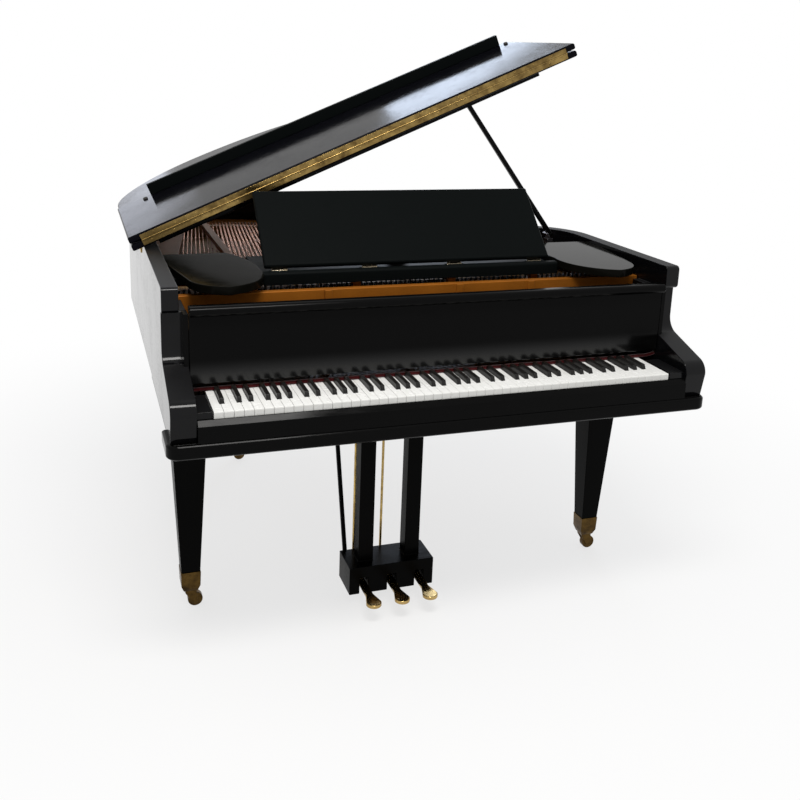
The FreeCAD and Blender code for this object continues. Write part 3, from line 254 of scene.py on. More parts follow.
def black_lacquer(name, tint, smooth, cloudy, gloss, worn_top=0.0):
    """Black lacquer: clouded where hands and cloths have been, with specks of dust and a faint ripple.
    Faces that look up may be rubbed duller."""
    made, tree, shader = start_material(name)
    marks = use_group(tree, polish_marks, Cloud_Scale=5.0)
    dusty = combine(tree, "MULTIPLY", marks["Dust"], dust_share)
    rough = remap(tree, marks["Smudge"], 0, 1, to_low=smooth, to_high=cloudy)
    if worn_top:
        upward = part_along(tree, put(tree, "NewGeometry").outputs["Normal"], "Z")
        rubbed_dull = remap(tree, upward, low=0.80, high=0.98, to_high=worn_top)
        rough = combine(tree, "MAXIMUM", rough, rubbed_dull)
    feed(tree, shader, Base_Color=blend(tree, dusty, tint, dust_colour), Roughness=rough)
    shader.inputs["Specular IOR Level"].default_value = gloss
    bumpy(tree, shader, marks["Ripple"], strength=0.05, depth=0.0004)
    return made


def dress(material, *names):
    """Give CAD nodes a finish."""
    for name in names:
        mesh = frame["nodes"][name].data
        mesh.materials.clear()
        mesh.materials.append(material)


weld_reach = 0.00002
flat_angle = math.radians(1.0)
sharp_angle = math.radians(32)


def ease(*names, width, steps=2):
    """Round the sharp edges of CAD pieces as sandpaper does. Their own meshes stay as they are."""
    for name in names:
        board = frame["nodes"][name]
        board.modifiers.new("joined_faces", "WELD").merge_threshold = weld_reach
        flats = board.modifiers.new("whole_faces", "DECIMATE")
        flats.decimate_type = "DISSOLVE"
        flats.angle_limit = flat_angle
        edges = board.modifiers.new("eased_edges", "BEVEL")
        edges.width = width
        edges.segments = steps
        edges.limit_method = "ANGLE"
        edges.angle_limit = sharp_angle
        edges.use_clamp_overlap = False
        board.modifiers.new("even_shading", "WEIGHTED_NORMAL").keep_sharp = False


polished = black_lacquer("polished_lacquer", tint=(0.0022, 0.0022, 0.0026, 1), smooth=0.06, cloudy=0.18,
                         gloss=0.16, worn_top=0.55)
rubbed = black_lacquer("rubbed_lacquer", tint=(0.0012, 0.0012, 0.0012, 1), smooth=0.10, cloudy=0.22,
                       gloss=0.055)
dress(polished, "case_rim", "key_blocks")
dress(rubbed, "keybed", "base_moulding", "key_slip")
ease("case_rim", "base_moulding", width=0.0018)
ease("key_blocks", "key_slip", width=0.0012)
ease("keybed", width=0.0015)

# The wooden body inside: beams and belly rail of pine, a spruce soundboard with maple bridges, the pin
# block, and the key frame and action rail of beech. Clear varnish on bare wood, glued and screwed up. A
# pine cleat on the keybed closes the slot in front of the belly rail.
wood_grain, ends_in, ends_out = shader_group("wood_grain", {"Turn": 0.0, "Ring Scale": 30.0},
                                             ("Ring", "Pore"))
spin = put(wood_grain, "CombineXYZ", {"Z": ends_in.outputs["Turn"]}).outputs[0]
along = stretched(wood_grain, rest_place(wood_grain), scale=(1.0, 0.06, 1.0), spin=spin)
wander = remap(wood_grain, noise(wood_grain, along, scale=9.0), 0, 1, to_low=-0.03, to_high=0.03)
bent = put(wood_grain, "VectorMath", {0: along, 1: wander}, operation="ADD").outputs[0]
ring_look = {"Vector": bent, "Scale": ends_in.outputs["Ring Scale"], "Distortion": 1.4, "Detail": 3.0,
             "Detail Scale": 1.5}
pore_place = stretched(wood_grain, along, scale=(900, 900, 900))
give_out(wood_grain, ends_out,
         Ring=put(wood_grain, "TexWave", ring_look).outputs["Fac"],
         Pore=remap(wood_grain, noise(wood_grain, pore_place, scale=1.0, detail=2), low=0.35, high=0.7))

pore_share = 0.25


def varnished_wood(name, pale, dark, turn, ring_scale):
    """Bare wood under thin varnish, with its rings and pores."""
    made, tree, shader = start_material(name)
    grain = use_group(tree, wood_grain, Turn=turn, Ring_Scale=ring_scale)
    rings = blend(tree, grain["Ring"], pale, dark)
    fleck = combine(tree, "MULTIPLY", grain["Pore"], pore_share)
    feed(tree, shader, Base_Color=blend(tree, fleck, rings, dark),
         Roughness=remap(tree, grain["Pore"], 0, 1, to_low=0.38, to_high=0.58))
    bumpy(tree, shader, grain["Pore"], strength=0.18, depth=0.0003)
    return made


quarter_turn = math.pi / 2
spruce = varnished_wood("spruce", pale=(0.62, 0.38, 0.15, 1), dark=(0.44, 0.24, 0.08, 1), turn=0.9,
                        ring_scale=60.0)
maple = varnished_wood("maple", pale=(0.50, 0.33, 0.17, 1), dark=(0.40, 0.25, 0.115, 1), turn=quarter_turn,
                       ring_scale=34.0)
pine = varnished_wood("pine", pale=(0.50, 0.33, 0.16, 1), dark=(0.36, 0.21, 0.09, 1), turn=0.0,
                      ring_scale=16.0)
beech = varnished_wood("beech", pale=(0.52, 0.34, 0.19, 1), dark=(0.42, 0.25, 0.13, 1), turn=quarter_turn,
                       ring_scale=26.0)
dress(spruce, "soundboard")
dress(maple, "bridges", "pin_block")
dress(pine, "back_beams")
dress(beech, "key_frame", "hammer_row")
ease("back_beams", "bridges", "key_frame", width=0.0015)


def piece(name, shape, material, body):
    """Finish a mesh as a piece of the piano that rides on a body."""
    bmesh.ops.recalc_face_normals(shape, faces=shape.faces)
    mesh = bpy.data.meshes.new(name)
    shape.to_mesh(mesh)
    shape.free()
    mesh.materials.append(material)
    made = bpy.data.objects.new(name, mesh)
    scene.collection.objects.link(made)
    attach(made, body)
    return made


def block(shape, low, high, draw_in=0.0):
    """A box between two corners, its foot drawn in across x by a share of its width."""
    inset = (high.x - low.x) / 2 * draw_in
    levels = []
    for z, pull in ((low.z, inset), (high.z, 0.0)):
        left = low.x + pull
        right_side = high.x - pull
        plan = ((left, low.y), (right_side, low.y), (right_side, high.y), (left, high.y))
        levels.append([shape.verts.new((x, y, z)) for x, y in plan])
    shape.faces.new(levels[0])
    shape.faces.new(levels[1])
    for step in range(4):
        shape.faces.new((levels[0][step - 1], levels[0][step], levels[1][step], levels[1][step - 1]))


def round_edges(shape, radius):
    """Round every edge of wooden blocks a little."""
    bmesh.ops.bevel(shape, geom=shape.edges[:], offset=radius, segments=2, affect="EDGES", profile=0.5)


beams_low, beams_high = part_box("back_beams")
bed_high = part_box("keybed")[1]
cleat_seat = 0.015
cleat_rise = 0.060
cleat_low = Vector((beams_low.x, bed_high.y - cleat_seat, bed_high.z))
cleat_high = Vector((beams_high.x, beams_low.y, bed_high.z + cleat_rise))
cleat = bmesh.new()
block(cleat, cleat_low, cleat_high)
round_edges(cleat, radius=0.0010)
piece("belly_cleat", cleat, pine, "case")

# The iron plate: one casting that takes the pull of the strings, ground, sprayed with bronze paint and
# bolted to the rim. A row of round-headed bolts holds its front edge.
bronze_paint, tree, shader = start_material("bronze_paint")
thin_bronze = (0.25, 0.080, 0.0075, 1)
thick_bronze = (0.17, 0.052, 0.005, 1)
bronze_flake = (0.34, 0.125, 0.016, 1)
place = rest_place(tree)
mottle = remap(tree, noise(tree, place, scale=11.0, detail=5), low=0.3, high=0.75)
flake = remap(tree, noise(tree, place, scale=1500.0, detail=2), low=0.45, high=0.72)
painted = blend(tree, mottle, thin_bronze, thick_bronze)
feed(tree, shader, Base_Color=blend(tree, flake, painted, bronze_flake),
     Roughness=remap(tree, flake, 0, 1, to_low=0.46, to_high=0.28))
shader.inputs["Metallic"].default_value = 0.25
shader.inputs["Specular IOR Level"].default_value = 0.08
bumpy(tree, shader, noise(tree, place, scale=260.0, detail=4), strength=0.22, depth=0.0006)
dress(bronze_paint, "iron_plate")
ease("iron_plate", width=0.0022)


def lathe(shape, profile, foot, axis, sides=16):
    """Turn a profile of (radius, height) steps about an axis that starts at foot."""
    axis = Vector(axis).normalized()
    side = axis.orthogonal().normalized()
    across = axis.cross(side)
    rings = []
    for radius, height in profile:
        ring = []
        for step in range(sides):
            angle = math.tau * step / sides
            outward = side * math.cos(angle) + across * math.sin(angle)
            ring.append(shape.verts.new(Vector(foot) + axis * height + outward * radius))
        rings.append(ring)
    for low, high in zip(rings, rings[1:]):
        for step in range(sides):
            shape.faces.new((low[step - 1], low[step], high[step], high[step - 1])).smooth = True
    shape.faces.new(rings[0])
    shape.faces.new(rings[-1])


def dome(radius, height):
    """A low round head: a short upright side, sunk a little, under a rounded top."""
    sunk = 0.4
    upright = 0.3
    steps = [(radius, -height * sunk), (radius, height * upright)]
    for share in (0.92, 0.75, 0.45, 0.12):
        crown = math.sqrt(1 - share * share)
        steps.append((radius * share, height * (upright + (1 - upright) * crown)))
    return steps


plate_low, plate_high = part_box("iron_plate")
pins_low, pins_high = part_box("tuning_pins")
plate_top = pins_low.z
up = Vector((0, 0, 1))
bolt_count = 13
bolt_inset = 0.05
bolt_setback = 0.01
bolt_radius = 0.0075
bolt_height = 0.005
bolt_line = (plate_low.y + pins_low.y) / 2 + bolt_setback
bolts = bmesh.new()
for step in range(bolt_count):
    share = (step + 0.5) / bolt_count
    across = plate_low.x + bolt_inset + (plate_high.x - plate_low.x - 2 * bolt_inset) * share
    lathe(bolts, dome(bolt_radius, bolt_height), (across, bolt_line, plate_top), up)
piece("plate_bolts", bolts, bronze_paint, "case")

# Tuning pins, hitch pins and strings. Blued steel pins in three rows stand through the plate, each with
# coils of its wire. Plain steel wires run in threes to a note, and the bass wires, one or two to a note,
# are wound with copper; each ends at a hitch pin that leans back from its pull.
same_point = 0.00001


def solid_groups(name):
    """The points of each separate solid in a node, in the order that the node holds them."""
    shape = bmesh.new()
    shape.from_mesh(frame["nodes"][name].data)
    bmesh.ops.remove_doubles(shape, verts=shape.verts, dist=same_point)
    shape.verts.ensure_lookup_table()
    waiting = set(range(len(shape.verts)))
    groups = []
    while waiting:
        queue = [min(waiting)]
        found = []
        waiting.discard(queue[0])
        while queue:
            vert = shape.verts[queue.pop()]
            found.append(vert.co.copy())
            for edge in vert.link_edges:
                other = edge.other_vert(vert).index
                if other in waiting:
                    waiting.discard(other)
                    queue.append(other)
        groups.append(found)
    shape.free()
    return groups


def run_of(points):
    """A string's two ends, front first."""
    split = (min(p.y for p in points) + max(p.y for p in points)) / 2
    halves = [[p for p in points if p.y < split], [p for p in points if p.y >= split]]
    return [sum(half, Vector()) / len(half) for half in halves]


metal_wear, ends_in, ends_out = shader_group("metal_wear", {"Patch Scale": 30.0}, ("Tarnish", "Brush"))
place = rest_place(metal_wear)
patches = noise(metal_wear, place, scale=ends_in.outputs["Patch Scale"], detail=5, rough=0.65)
brushing = stretched(metal_wear, place, scale=(60, 900, 900))
give_out(metal_wear, ends_out,
         Tarnish=remap(metal_wear, patches, low=0.38, high=0.72),
         Brush=noise(metal_wear, brushing, scale=1.0))


def worn_metal(name, bright, dull, smooth, rough, patch_scale):
    """Bare metal with patches of tarnish and fine rubbing marks."""
    made, tree, shader = start_material(name)
    wear = use_group(tree, metal_wear, Patch_Scale=patch_scale)
    feed(tree, shader, Base_Color=blend(tree, wear["Tarnish"], bright, dull),
         Roughness=remap(tree, wear["Tarnish"], 0, 1, to_low=smooth, to_high=rough))
    shader.inputs["Metallic"].default_value = 1.0
    bumpy(tree, shader, wear["Brush"], strength=0.10, depth=0.0002)
    return made


wire_steel = worn_metal("wire_steel", bright=(0.62, 0.62, 0.62, 1), dull=(0.42, 0.40, 0.37, 1), smooth=0.18,
                        rough=0.34, patch_scale=40.0)
blued_steel = worn_metal("blued_steel", bright=(0.17, 0.17, 0.19, 1), dull=(0.10, 0.092, 0.090, 1),
                         smooth=0.24, rough=0.42, patch_scale=90.0)
copper_winding, tree, shader = start_material("copper_winding")
new_copper = (0.60, 0.27, 0.14, 1)
old_copper = (0.33, 0.15, 0.09, 1)
place = rest_place(tree)
turn_look = {"Vector": place, "Scale": 190.0, "Distortion": 0.2}
turns = put(tree, "TexWave", turn_look, bands_direction="Y").outputs["Fac"]
aged = remap(tree, noise(tree, place, scale=22.0, detail=4), low=0.35, high=0.7)
feed(tree, shader, Base_Color=blend(tree, aged, new_copper, old_copper),
     Roughness=remap(tree, aged, 0, 1, to_low=0.26, to_high=0.44))
shader.inputs["Metallic"].default_value = 1.0
bumpy(tree, shader, turns, strength=0.6, depth=0.0003)

treble_runs = [run_of(points) for points in solid_groups("treble_strings")]
bass_runs = [run_of(points) for points in solid_groups("bass_strings")]
pin_row_inset = 0.003
pin_rows = [pins_low.y + pin_row_inset, (pins_low.y + pins_high.y) / 2, pins_high.y - pin_row_inset]
pin_height = pins_high.z - pins_low.z
pin_radius = 0.0031
pin_round_share = 0.55
pin_square = pin_radius * 1.05
pin_square_top = pin_square * 0.78
coil_limit = 0.5
coil_bulge = 1.6
wire_radius = 0.00055
wound_radius = 0.0021
bare_front = 0.22
bare_rear = 0.055
front_taper = 0.00275
rear_taper = 0.0022
unison_wires = 3
unison_spread = 0.0046
single_bass_notes = 10
hitch_spread = 0.0024
hitch_pin_radius = 0.0016
hitch_pin_height = 0.011
hitch_pin_lean = Vector((0.0, 0.25, 1.0))
pins = bmesh.new()
plain_wires = bmesh.new()
wound_wires = bmesh.new()
hitch_pins = bmesh.new()


def tuning_pin(foot, wire_height):
    """A round pin with a squared head, and three coils of wire at the height of its string."""
    shoulder = pin_height * pin_round_share
    lathe(pins, [(pin_radius, 0), (pin_radius, shoulder)], foot, up, sides=12)
    lathe(pins, [(pin_square, shoulder), (pin_square_top, pin_height)], foot, up, sides=4)
    for coil in (-1, 0, 1):
        middle = wire_height + coil * wire_radius * 2
        turn_of_wire = [(pin_radius, middle - wire_radius), (pin_radius + wire_radius * coil_bulge, middle),
                        (pin_radius, middle + wire_radius)]
        lathe(pins, turn_of_wire, foot, up, sides=12)


def string_wire(front, rear, place_in_note, wires, row, wound):
    """One wire with its tuning pin and its hitch pin."""
    aside = place_in_note - (wires - 1) / 2
    foot = Vector((front.x + aside * unison_spread, pin_rows[row], plate_top))
    start = foot + Vector((pin_radius + wire_radius, 0, front.z - plate_top))
    end = rear + Vector((aside * hitch_spread, 0, 0))
    run = end - start
    length = run.length
    tuning_pin(foot, min(front.z - plate_top, pin_height * coil_limit))
    if wound:
        winding = [(wound_radius, bare_front + front_taper), (wound_radius, length - bare_rear)]
        bare_ends = [(wire_radius, length - bare_rear + rear_taper), (wire_radius, length)]
        steps = [(wire_radius, 0), (wire_radius, bare_front)] + winding + bare_ends
        lathe(wound_wires, steps, start, run, sides=8)
    else:
        lathe(plain_wires, [(wire_radius, 0), (wire_radius, length)], start, run, sides=6)
    hitch = Vector((end.x, end.y, plate_top - hitch_pin_radius))
    peg = [(hitch_pin_radius, 0), (hitch_pin_radius, hitch_pin_height)]
    lathe(hitch_pins, peg, hitch, hitch_pin_lean, sides=8)


wire_number = 0
for note, (front, rear) in enumerate(bass_runs):
    wires = 1 if note < single_bass_notes else 2
    for place_in_note in range(wires):
        string_wire(front, rear, place_in_note, wires, wire_number % len(pin_rows), True)
        wire_number += 1
for front, rear in treble_runs:
    for place_in_note in range(unison_wires):
        string_wire(front, rear, place_in_note, unison_wires, wire_number % len(pin_rows), False)
        wire_number += 1
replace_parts(piece("coiled_tuning_pins", pins, blued_steel, "case"), "tuning_pins")
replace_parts(piece("plain_wires", plain_wires, wire_steel, "case"), "treble_strings")
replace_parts(piece("wound_wires", wound_wires, copper_winding, "case"), "bass_strings")
piece("hitch_pins", hitch_pins, blued_steel, "case")

# Dampers: a row of small black wooden heads, each with a wedge of cream felt glued below, which sits on
# its strings until the right pedal lifts the row.
felt_fibres, ends_in, ends_out = shader_group("felt_fibres", {"Fibre Scale": 900.0}, ("Tuft", "Fuzz"))
place = rest_place(felt_fibres)
tufts = noise(felt_fibres, place, scale=70.0, detail=5, rough=0.7)
combed = stretched(felt_fibres, place, scale=(0.35, 1.0, 1.0), spin=(0, 0.4, 0.5))
give_out(felt_fibres, ends_out,
         Tuft=remap(felt_fibres, tufts, low=0.3, high=0.7),
         Fuzz=noise(felt_fibres, combed, scale=ends_in.outputs["Fibre Scale"], detail=4, rough=0.7))


def woven_felt(name, light, deep):
    """Thick felt: uneven dye, a nap of fine fibres and a soft sheen."""
    made, tree, shader = start_material(name)
    wool = use_group(tree, felt_fibres, Fibre_Scale=1300.0)
    mixed = combine(tree, "MULTIPLY", wool["Tuft"], wool["Fuzz"])
    feed(tree, shader, Base_Color=blend(tree, mixed, deep, light),
         Roughness=remap(tree, wool["Fuzz"], 0, 1, to_low=0.85, to_high=1.0))
    shader.inputs["Specular IOR Level"].default_value = 0.1
    shader.inputs["Sheen Weight"].default_value = 0.35
    bumpy(tree, shader, wool["Fuzz"], strength=0.7, depth=0.0008)
    return made


def corners(points):
    """The lowest and the highest corner of some points."""
    low = Vector((min(p.x for p in points), min(p.y for p in points), min(p.z for p in points)))
    high = Vector((max(p.x for p in points), max(p.y for p in points), max(p.z for p in points)))
    return low, high


cream_felt = woven_felt("cream_felt", light=(0.72, 0.68, 0.58, 1), deep=(0.50, 0.46, 0.37, 1))
wedge_height_share = 0.45
wedge_draw_in = 0.75
heads = bmesh.new()
wedges = bmesh.new()
for points in solid_groups("dampers"):
    low, high = corners(points)
    split = low.z + (high.z - low.z) * wedge_height_share
    block(wedges, low, Vector((high.x, high.y, split)), draw_in=wedge_draw_in)
    block(heads, Vector((low.x, low.y, split)), high)
round_edges(heads, radius=0.0009)
piece("damper_heads", heads, rubbed, "dampers")
damper_felts = piece("damper_felts", wedges, cream_felt, "dampers")
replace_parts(damper_felts, "dampers")

# The keys: spruce levers with white moulded tops and fronts, and satin black sharps, each rocking on the
# balance rail. Handling leaves the white slightly cream. The fronts are painted greyer than the tops as
# painted shade, paler in a band just under the top's edge.
key_top = treble_keys[1].z
cover_length = 0.153
cover_edge = 0.0004
lip_depth = 0.0034
lip_edge = 0.0006
pale_lever = (0.56, 0.38, 0.19, 1)
dark_lever = (0.44, 0.27, 0.12, 1)
clean_white = (0.87, 0.87, 0.855, 1)
cream_white = (0.82, 0.82, 0.795, 1)
# Painted shade: the white of the key fronts, darker than the tops.
front_white_painted_shade = (0.60, 0.60, 0.58, 1)
lip_white = (0.80, 0.80, 0.77, 1)
black_sharp = (0.004, 0.004, 0.004, 1)
streaked_sharp = (0.012, 0.011, 0.010, 1)


def lever_behind_cover(tree, place, cover):
    """The colour of a key's cover, and of the bare spruce lever behind the cover's end."""
    cover_end = key_front + cover_length
    behind = remap(tree, part_along(tree, place, "Y"), cover_end, cover_end + cover_edge)
    grain = use_group(tree, wood_grain, Turn=0.0, Ring_Scale=90.0)
    return blend(tree, behind, cover, blend(tree, grain["Ring"], pale_lever, dark_lever))


white_keys, tree, shader = start_material("white_keys")
place = rest_place(tree)
# Faces that look to the front take the painted shade of the fronts, with a paler band just under the top
# edge.
facing = part_along(tree, put(tree, "NewGeometry").outputs["Normal"], "Y")
front_shade_share = remap(tree, facing, low=-0.5, high=-0.9)
lip_low = key_top - lip_depth
lip_line = remap(tree, part_along(tree, place, "Z"), lip_low, lip_low + lip_edge)
figure = noise(tree, stretched(tree, place, scale=(160, 12, 160)), scale=1.0, detail=4)
top_colour = blend(tree, remap(tree, figure, low=0.35, high=0.7), clean_white, cream_white)
front_colour_painted_shade = blend(tree, lip_line, front_white_painted_shade, lip_white)
moulded = blend(tree, front_shade_share, top_colour, front_colour_painted_shade)
handling = noise(tree, place, scale=45.0, detail=4)
feed(tree, shader, Base_Color=lever_behind_cover(tree, place, moulded),
     Roughness=remap(tree, handling, low=0.3, high=0.7, to_low=0.16, to_high=0.32))
bumpy(tree, shader, figure, strength=0.06, depth=0.0002)

black_keys, tree, shader = start_material("black_keys")
place = rest_place(tree)
streaks = noise(tree, stretched(tree, place, scale=(420, 30, 420)), scale=1.0, detail=4)
ebony = blend(tree, streaks, black_sharp, streaked_sharp)
feed(tree, shader, Base_Color=lever_behind_cover(tree, place, ebony),
     Roughness=remap(tree, streaks, low=0.3, high=0.7, to_low=0.26, to_high=0.40))
shader.inputs["Specular IOR Level"].default_value = 0.22
bumpy(tree, shader, streaks, strength=0.10, depth=0.0002)

natural_nodes = ("bass_natural_keys", "treble_natural_keys", "middle_c_key", "middle_d_key", "middle_e_key")
sharp_nodes = ("bass_sharp_keys", "treble_sharp_keys", "middle_c_sharp_key", "middle_d_sharp_key")
dress(white_keys, *natural_nodes)
dress(black_keys, *sharp_nodes)
ease(*natural_nodes, width=0.0007, steps=3)
ease(*sharp_nodes, width=0.0013, steps=3)

# The fallboard: a lacquered key cover on two pivots, wiped bright where it meets the keys, with a thin lath
# on the case at each end. Behind the keys lies a rail with a strip of red felt, glued along its front,
# folded over its top and curled up at the treble end.
wiped = black_lacquer("wiped_lacquer", tint=(0.0012, 0.0012, 0.0012, 1), smooth=0.10, cloudy=0.22,
                      gloss=0.055)
wiped_foot = 0.020
wiped_reach = 0.085
wiped_share = 0.75
tree = wiped.node_tree
shader = tree.nodes["Principled BSDF"]
burnish = remap(tree, part_along(tree, rest_place(tree), "Z"), key_top + wiped_foot, key_top + wiped_reach,
                to_low=wiped_share, to_high=0.0, curve="SMOOTHSTEP")
feed(tree, shader, Coat_Weight=burnish)
shader.inputs["Coat Roughness"].default_value = 0.13
dress(wiped, "fallboard")
dress(rubbed, "felt_rail")
ease("fallboard", width=0.0020)

board_low, board_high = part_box("fallboard")
rail_low, rail_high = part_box("felt_rail")
lath_width = 0.012
lath_depth = 0.0405
lath_setback = 0.006
lath_foot_rise = 0.044
lath_top_drop = 0.019
lath_back = board_high.y + lath_setback
lath_foot = board_low.z + lath_foot_rise
lath_top = board_high.z - lath_top_drop
cheek_laths = bmesh.new()
for near, far in ((rail_low.x - lath_width, rail_low.x), (rail_high.x, rail_high.x + lath_width)):
    block(cheek_laths, Vector((near, lath_back - lath_depth, lath_foot)), Vector((far, lath_back, lath_top)))
round_edges(cheek_laths, radius=0.0008)
piece("cheek_laths", cheek_laths, rubbed, "case")

red_felt = woven_felt("red_wool_felt", light=(0.15, 0.007, 0.010, 1), deep=(0.055, 0.003, 0.004, 1))
felt_low, felt_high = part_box("red_felt")
felt_half = 0.0009
felt_tuck = 0.0008
# Each bend of the fold: how far it lies behind the felt's front, and how far below its top.
felt_bends = ((felt_half, 0.0050), (0.0016, 0.0030), (0.0030, 0.0022))
felt_overlap = 0.0030
felt_lie = 0.0020
curl_length = 0.032
curl_rise = 0.007
curl_forward = 0.004
slow_sway = 0.00025
slow_waves = 31
quick_sway = 0.0002
quick_waves = 83
strip_steps = 240
fold = [(felt_low.y + felt_half, felt_low.z - felt_tuck)]
fold += [(felt_low.y + back, felt_high.z - drop) for back, drop in felt_bends]
fold += [(felt_high.y + felt_overlap, felt_high.z - felt_lie)]
strip = bmesh.new()
rows = []
for step in range(strip_steps + 1):
    across = felt_low.x + (felt_high.x - felt_low.x) * step / strip_steps
    loose = max(0.0, across - (felt_high.x - curl_length)) / curl_length
    sway = slow_sway * math.sin(across * slow_waves) + quick_sway * math.sin(across * quick_waves + 1)
    back_by = sway - curl_forward * loose * loose
    up_by = sway + curl_rise * loose * loose
    rows.append([strip.verts.new((across, y + back_by, z + up_by)) for y, z in fold])
for near, far in zip(rows, rows[1:]):
    for step in range(len(fold) - 1):
        strip.faces.new((near[step], near[step + 1], far[step + 1], far[step])).smooth = True
felt_strip = piece("red_felt_strip", strip, red_felt, "case")
thickness = felt_strip.modifiers.new("felt_thickness", "SOLIDIFY")
thickness.thickness = felt_half * 2
thickness.offset = 0.0
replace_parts(felt_strip, "red_felt")

# The music shelf with its two side shelves and the folding desk. Lacquered boards: the side shelves are
# satin, the middle shelf and the desk are rubbed to a dull black. Brass hinges along the desk's foot let it
# fold, and a wooden strut behind holds its slope.
dull = black_lacquer("dull_lacquer", tint=(0.0022, 0.0030, 0.0030, 1), smooth=0.42, cloudy=0.55, gloss=0.025)
# The satin lacquer's faint olive tint is a painted reflection: it stands in for the olive-grey of the room
# that the side shelves reflect.
satin = black_lacquer("satin_lacquer", tint=(0.0032, 0.0031, 0.0024, 1), smooth=0.07, cloudy=0.16,
                      gloss=0.020)
dress(satin, "side_shelves")
dress(dull, "music_shelf", "music_desk", "desk_strut")
ease("music_shelf", "side_shelves", "desk_strut", width=0.0018)
pale_brass = worn_metal("pale_brass", bright=(0.72, 0.62, 0.45, 1), dull=(0.38, 0.30, 0.19, 1), smooth=0.16,
                        rough=0.36, patch_scale=42.0)
dress(pale_brass, "desk_hinges")
ease("desk_hinges", width=0.0006)

# The lid: a main board and a front flap, folded back on it, both lacquered and joined by a continuous brass
# hinge of knuckles on a pin, one screwed leaf to each board. A lip board stands on the flap's underside with
# a rubber button off each end, and a batten and the prop's block are glued under the main board.
fold_joint = next(joint for joint in frame["joints"] if joint["name"] == "flap_fold")
hinge_point = Vector(fold_joint["pos_m"])
hinge_along = Vector(fold_joint["axis"]).normalized()
lid_up = Vector((-hinge_along.z, 0, hinge_along.x))
to_front = Vector((0, -1, 0))
# The lid lacquer's faint blue-violet tint is a painted reflection: it stands in for the violet sheen that
# the lid reflects.
lid_lacquer = black_lacquer("lid_lacquer", tint=(0.0028, 0.0028, 0.0042, 1), smooth=0.09, cloudy=0.20,
                            gloss=0.020)
dress(lid_lacquer, "lid_main", "lid_flap")
dress(rubbed, "lid_battens")
dress(dull, "flap_lip")
ease("lid_main", "lid_flap", "lid_battens", "flap_lip", width=0.0016)
hinge_brass = worn_metal("hinge_brass", bright=(0.31, 0.21, 0.072, 1), dull=(0.085, 0.052, 0.018, 1),
                         smooth=0.20, rough=0.46, patch_scale=26.0)
dress(hinge_brass, "lid_leaves", "flap_leaf")
ease("lid_leaves", "flap_leaf", width=0.0003)


def extent(name, direction):
    """How far a node reaches from the hinge point along a direction, back and forth."""
    reach = [(vert.co - hinge_point).dot(direction) for vert in frame["nodes"][name].data.vertices]
    return min(reach), max(reach)


leaf_start, leaf_end = extent("flap_leaf", hinge_along)
leaf_low, leaf_high = extent("flap_leaf", lid_up)
leaf_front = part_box("flap_leaf")[0].y - hinge_point.y
knuckle_pitch = 0.0132
knuckle_gap = 0.0007
knuckle_length = knuckle_pitch - knuckle_gap
knuckle_radius = 0.00225
knuckle_end_radius = knuckle_radius * 0.85
knuckle_chamfer = 0.0006
knuckle_profile = [(knuckle_end_radius, 0), (knuckle_radius, knuckle_chamfer),
                   (knuckle_radius, knuckle_length - knuckle_chamfer), (knuckle_end_radius, knuckle_length)]
knuckle_count = int((leaf_end - leaf_start) / knuckle_pitch)
knuckles = {"lid": bmesh.new(), "flap": bmesh.new()}
for step in range(knuckle_count):
    body = ("lid", "flap")[step % 2]
    start = leaf_start + step * knuckle_pitch + knuckle_gap / 2
    lathe(knuckles[body], knuckle_profile, hinge_point + hinge_along * start, hinge_along, sides=12)


def slotted_screw(shape, centre, outward, along, radius):
    """A flat screw head: a thin disc with two half rounds on it that leave the driver's slot."""
    sunk = 0.2
    rim_height = 0.12
    slot_half = 0.14
    # The half rounds' edge, as steps of height and reach, both as shares of the radius.
    rounding = ((rim_height, 1.0), (0.26, 0.97), (0.32, 0.88))
    arc_steps = 8
    arc_start = math.asin(slot_half)
    across = Vector(outward).cross(along).normalized()
    lathe(shape, [(radius, -radius * sunk), (radius, radius * rim_height)], centre, outward)
    for side in (-1, 1):
        rings = []
        for lift, pull in rounding:
            ring = []
            for step in range(arc_steps + 1):
                angle = arc_start + (math.pi - 2 * arc_start) * step / arc_steps
                from_slot = max(math.sin(angle) * pull, slot_half)
                spot = along * math.cos(angle) * pull + across * side * from_slot
                ring.append(shape.verts.new(centre + spot * radius + Vector(outward) * radius * lift))
            rings.append(ring)
        for low, high in zip(rings, rings[1:]):
            for step in range(arc_steps + 1):
                shape.faces.new((low[step - 1], low[step], high[step], high[step - 1]))
        shape.faces.new(rings[-1])


screw_radius = 0.0033
screw_pitch = 0.066
screw_stagger = 0.006
slot_swing = 0.45
slot_drift = 2.3
screw_count = int((leaf_end - leaf_start - screw_pitch) / screw_pitch) + 1
screws = {"lid": bmesh.new(), "flap": bmesh.new()}
for body, side in (("lid", -1), ("flap", 1)):
    for step in range(screw_count):
        start = leaf_start + screw_pitch / 2 + step * screw_pitch + side * screw_stagger
        spot = hinge_point + hinge_along * start + lid_up * side * (leaf_low + leaf_high) / 2
        spot.y = hinge_point.y + leaf_front
        slot_way = hinge_along.lerp(lid_up, 0.5 + slot_swing * math.sin(step * slot_drift)).normalized()
        slotted_screw(screws[body], spot, to_front, slot_way, screw_radius)
for body in ("lid", "flap"):
    piece(body + "_hinge_knuckles", knuckles[body], hinge_brass, body)
    piece(body + "_leaf_screws", screws[body], hinge_brass, body)

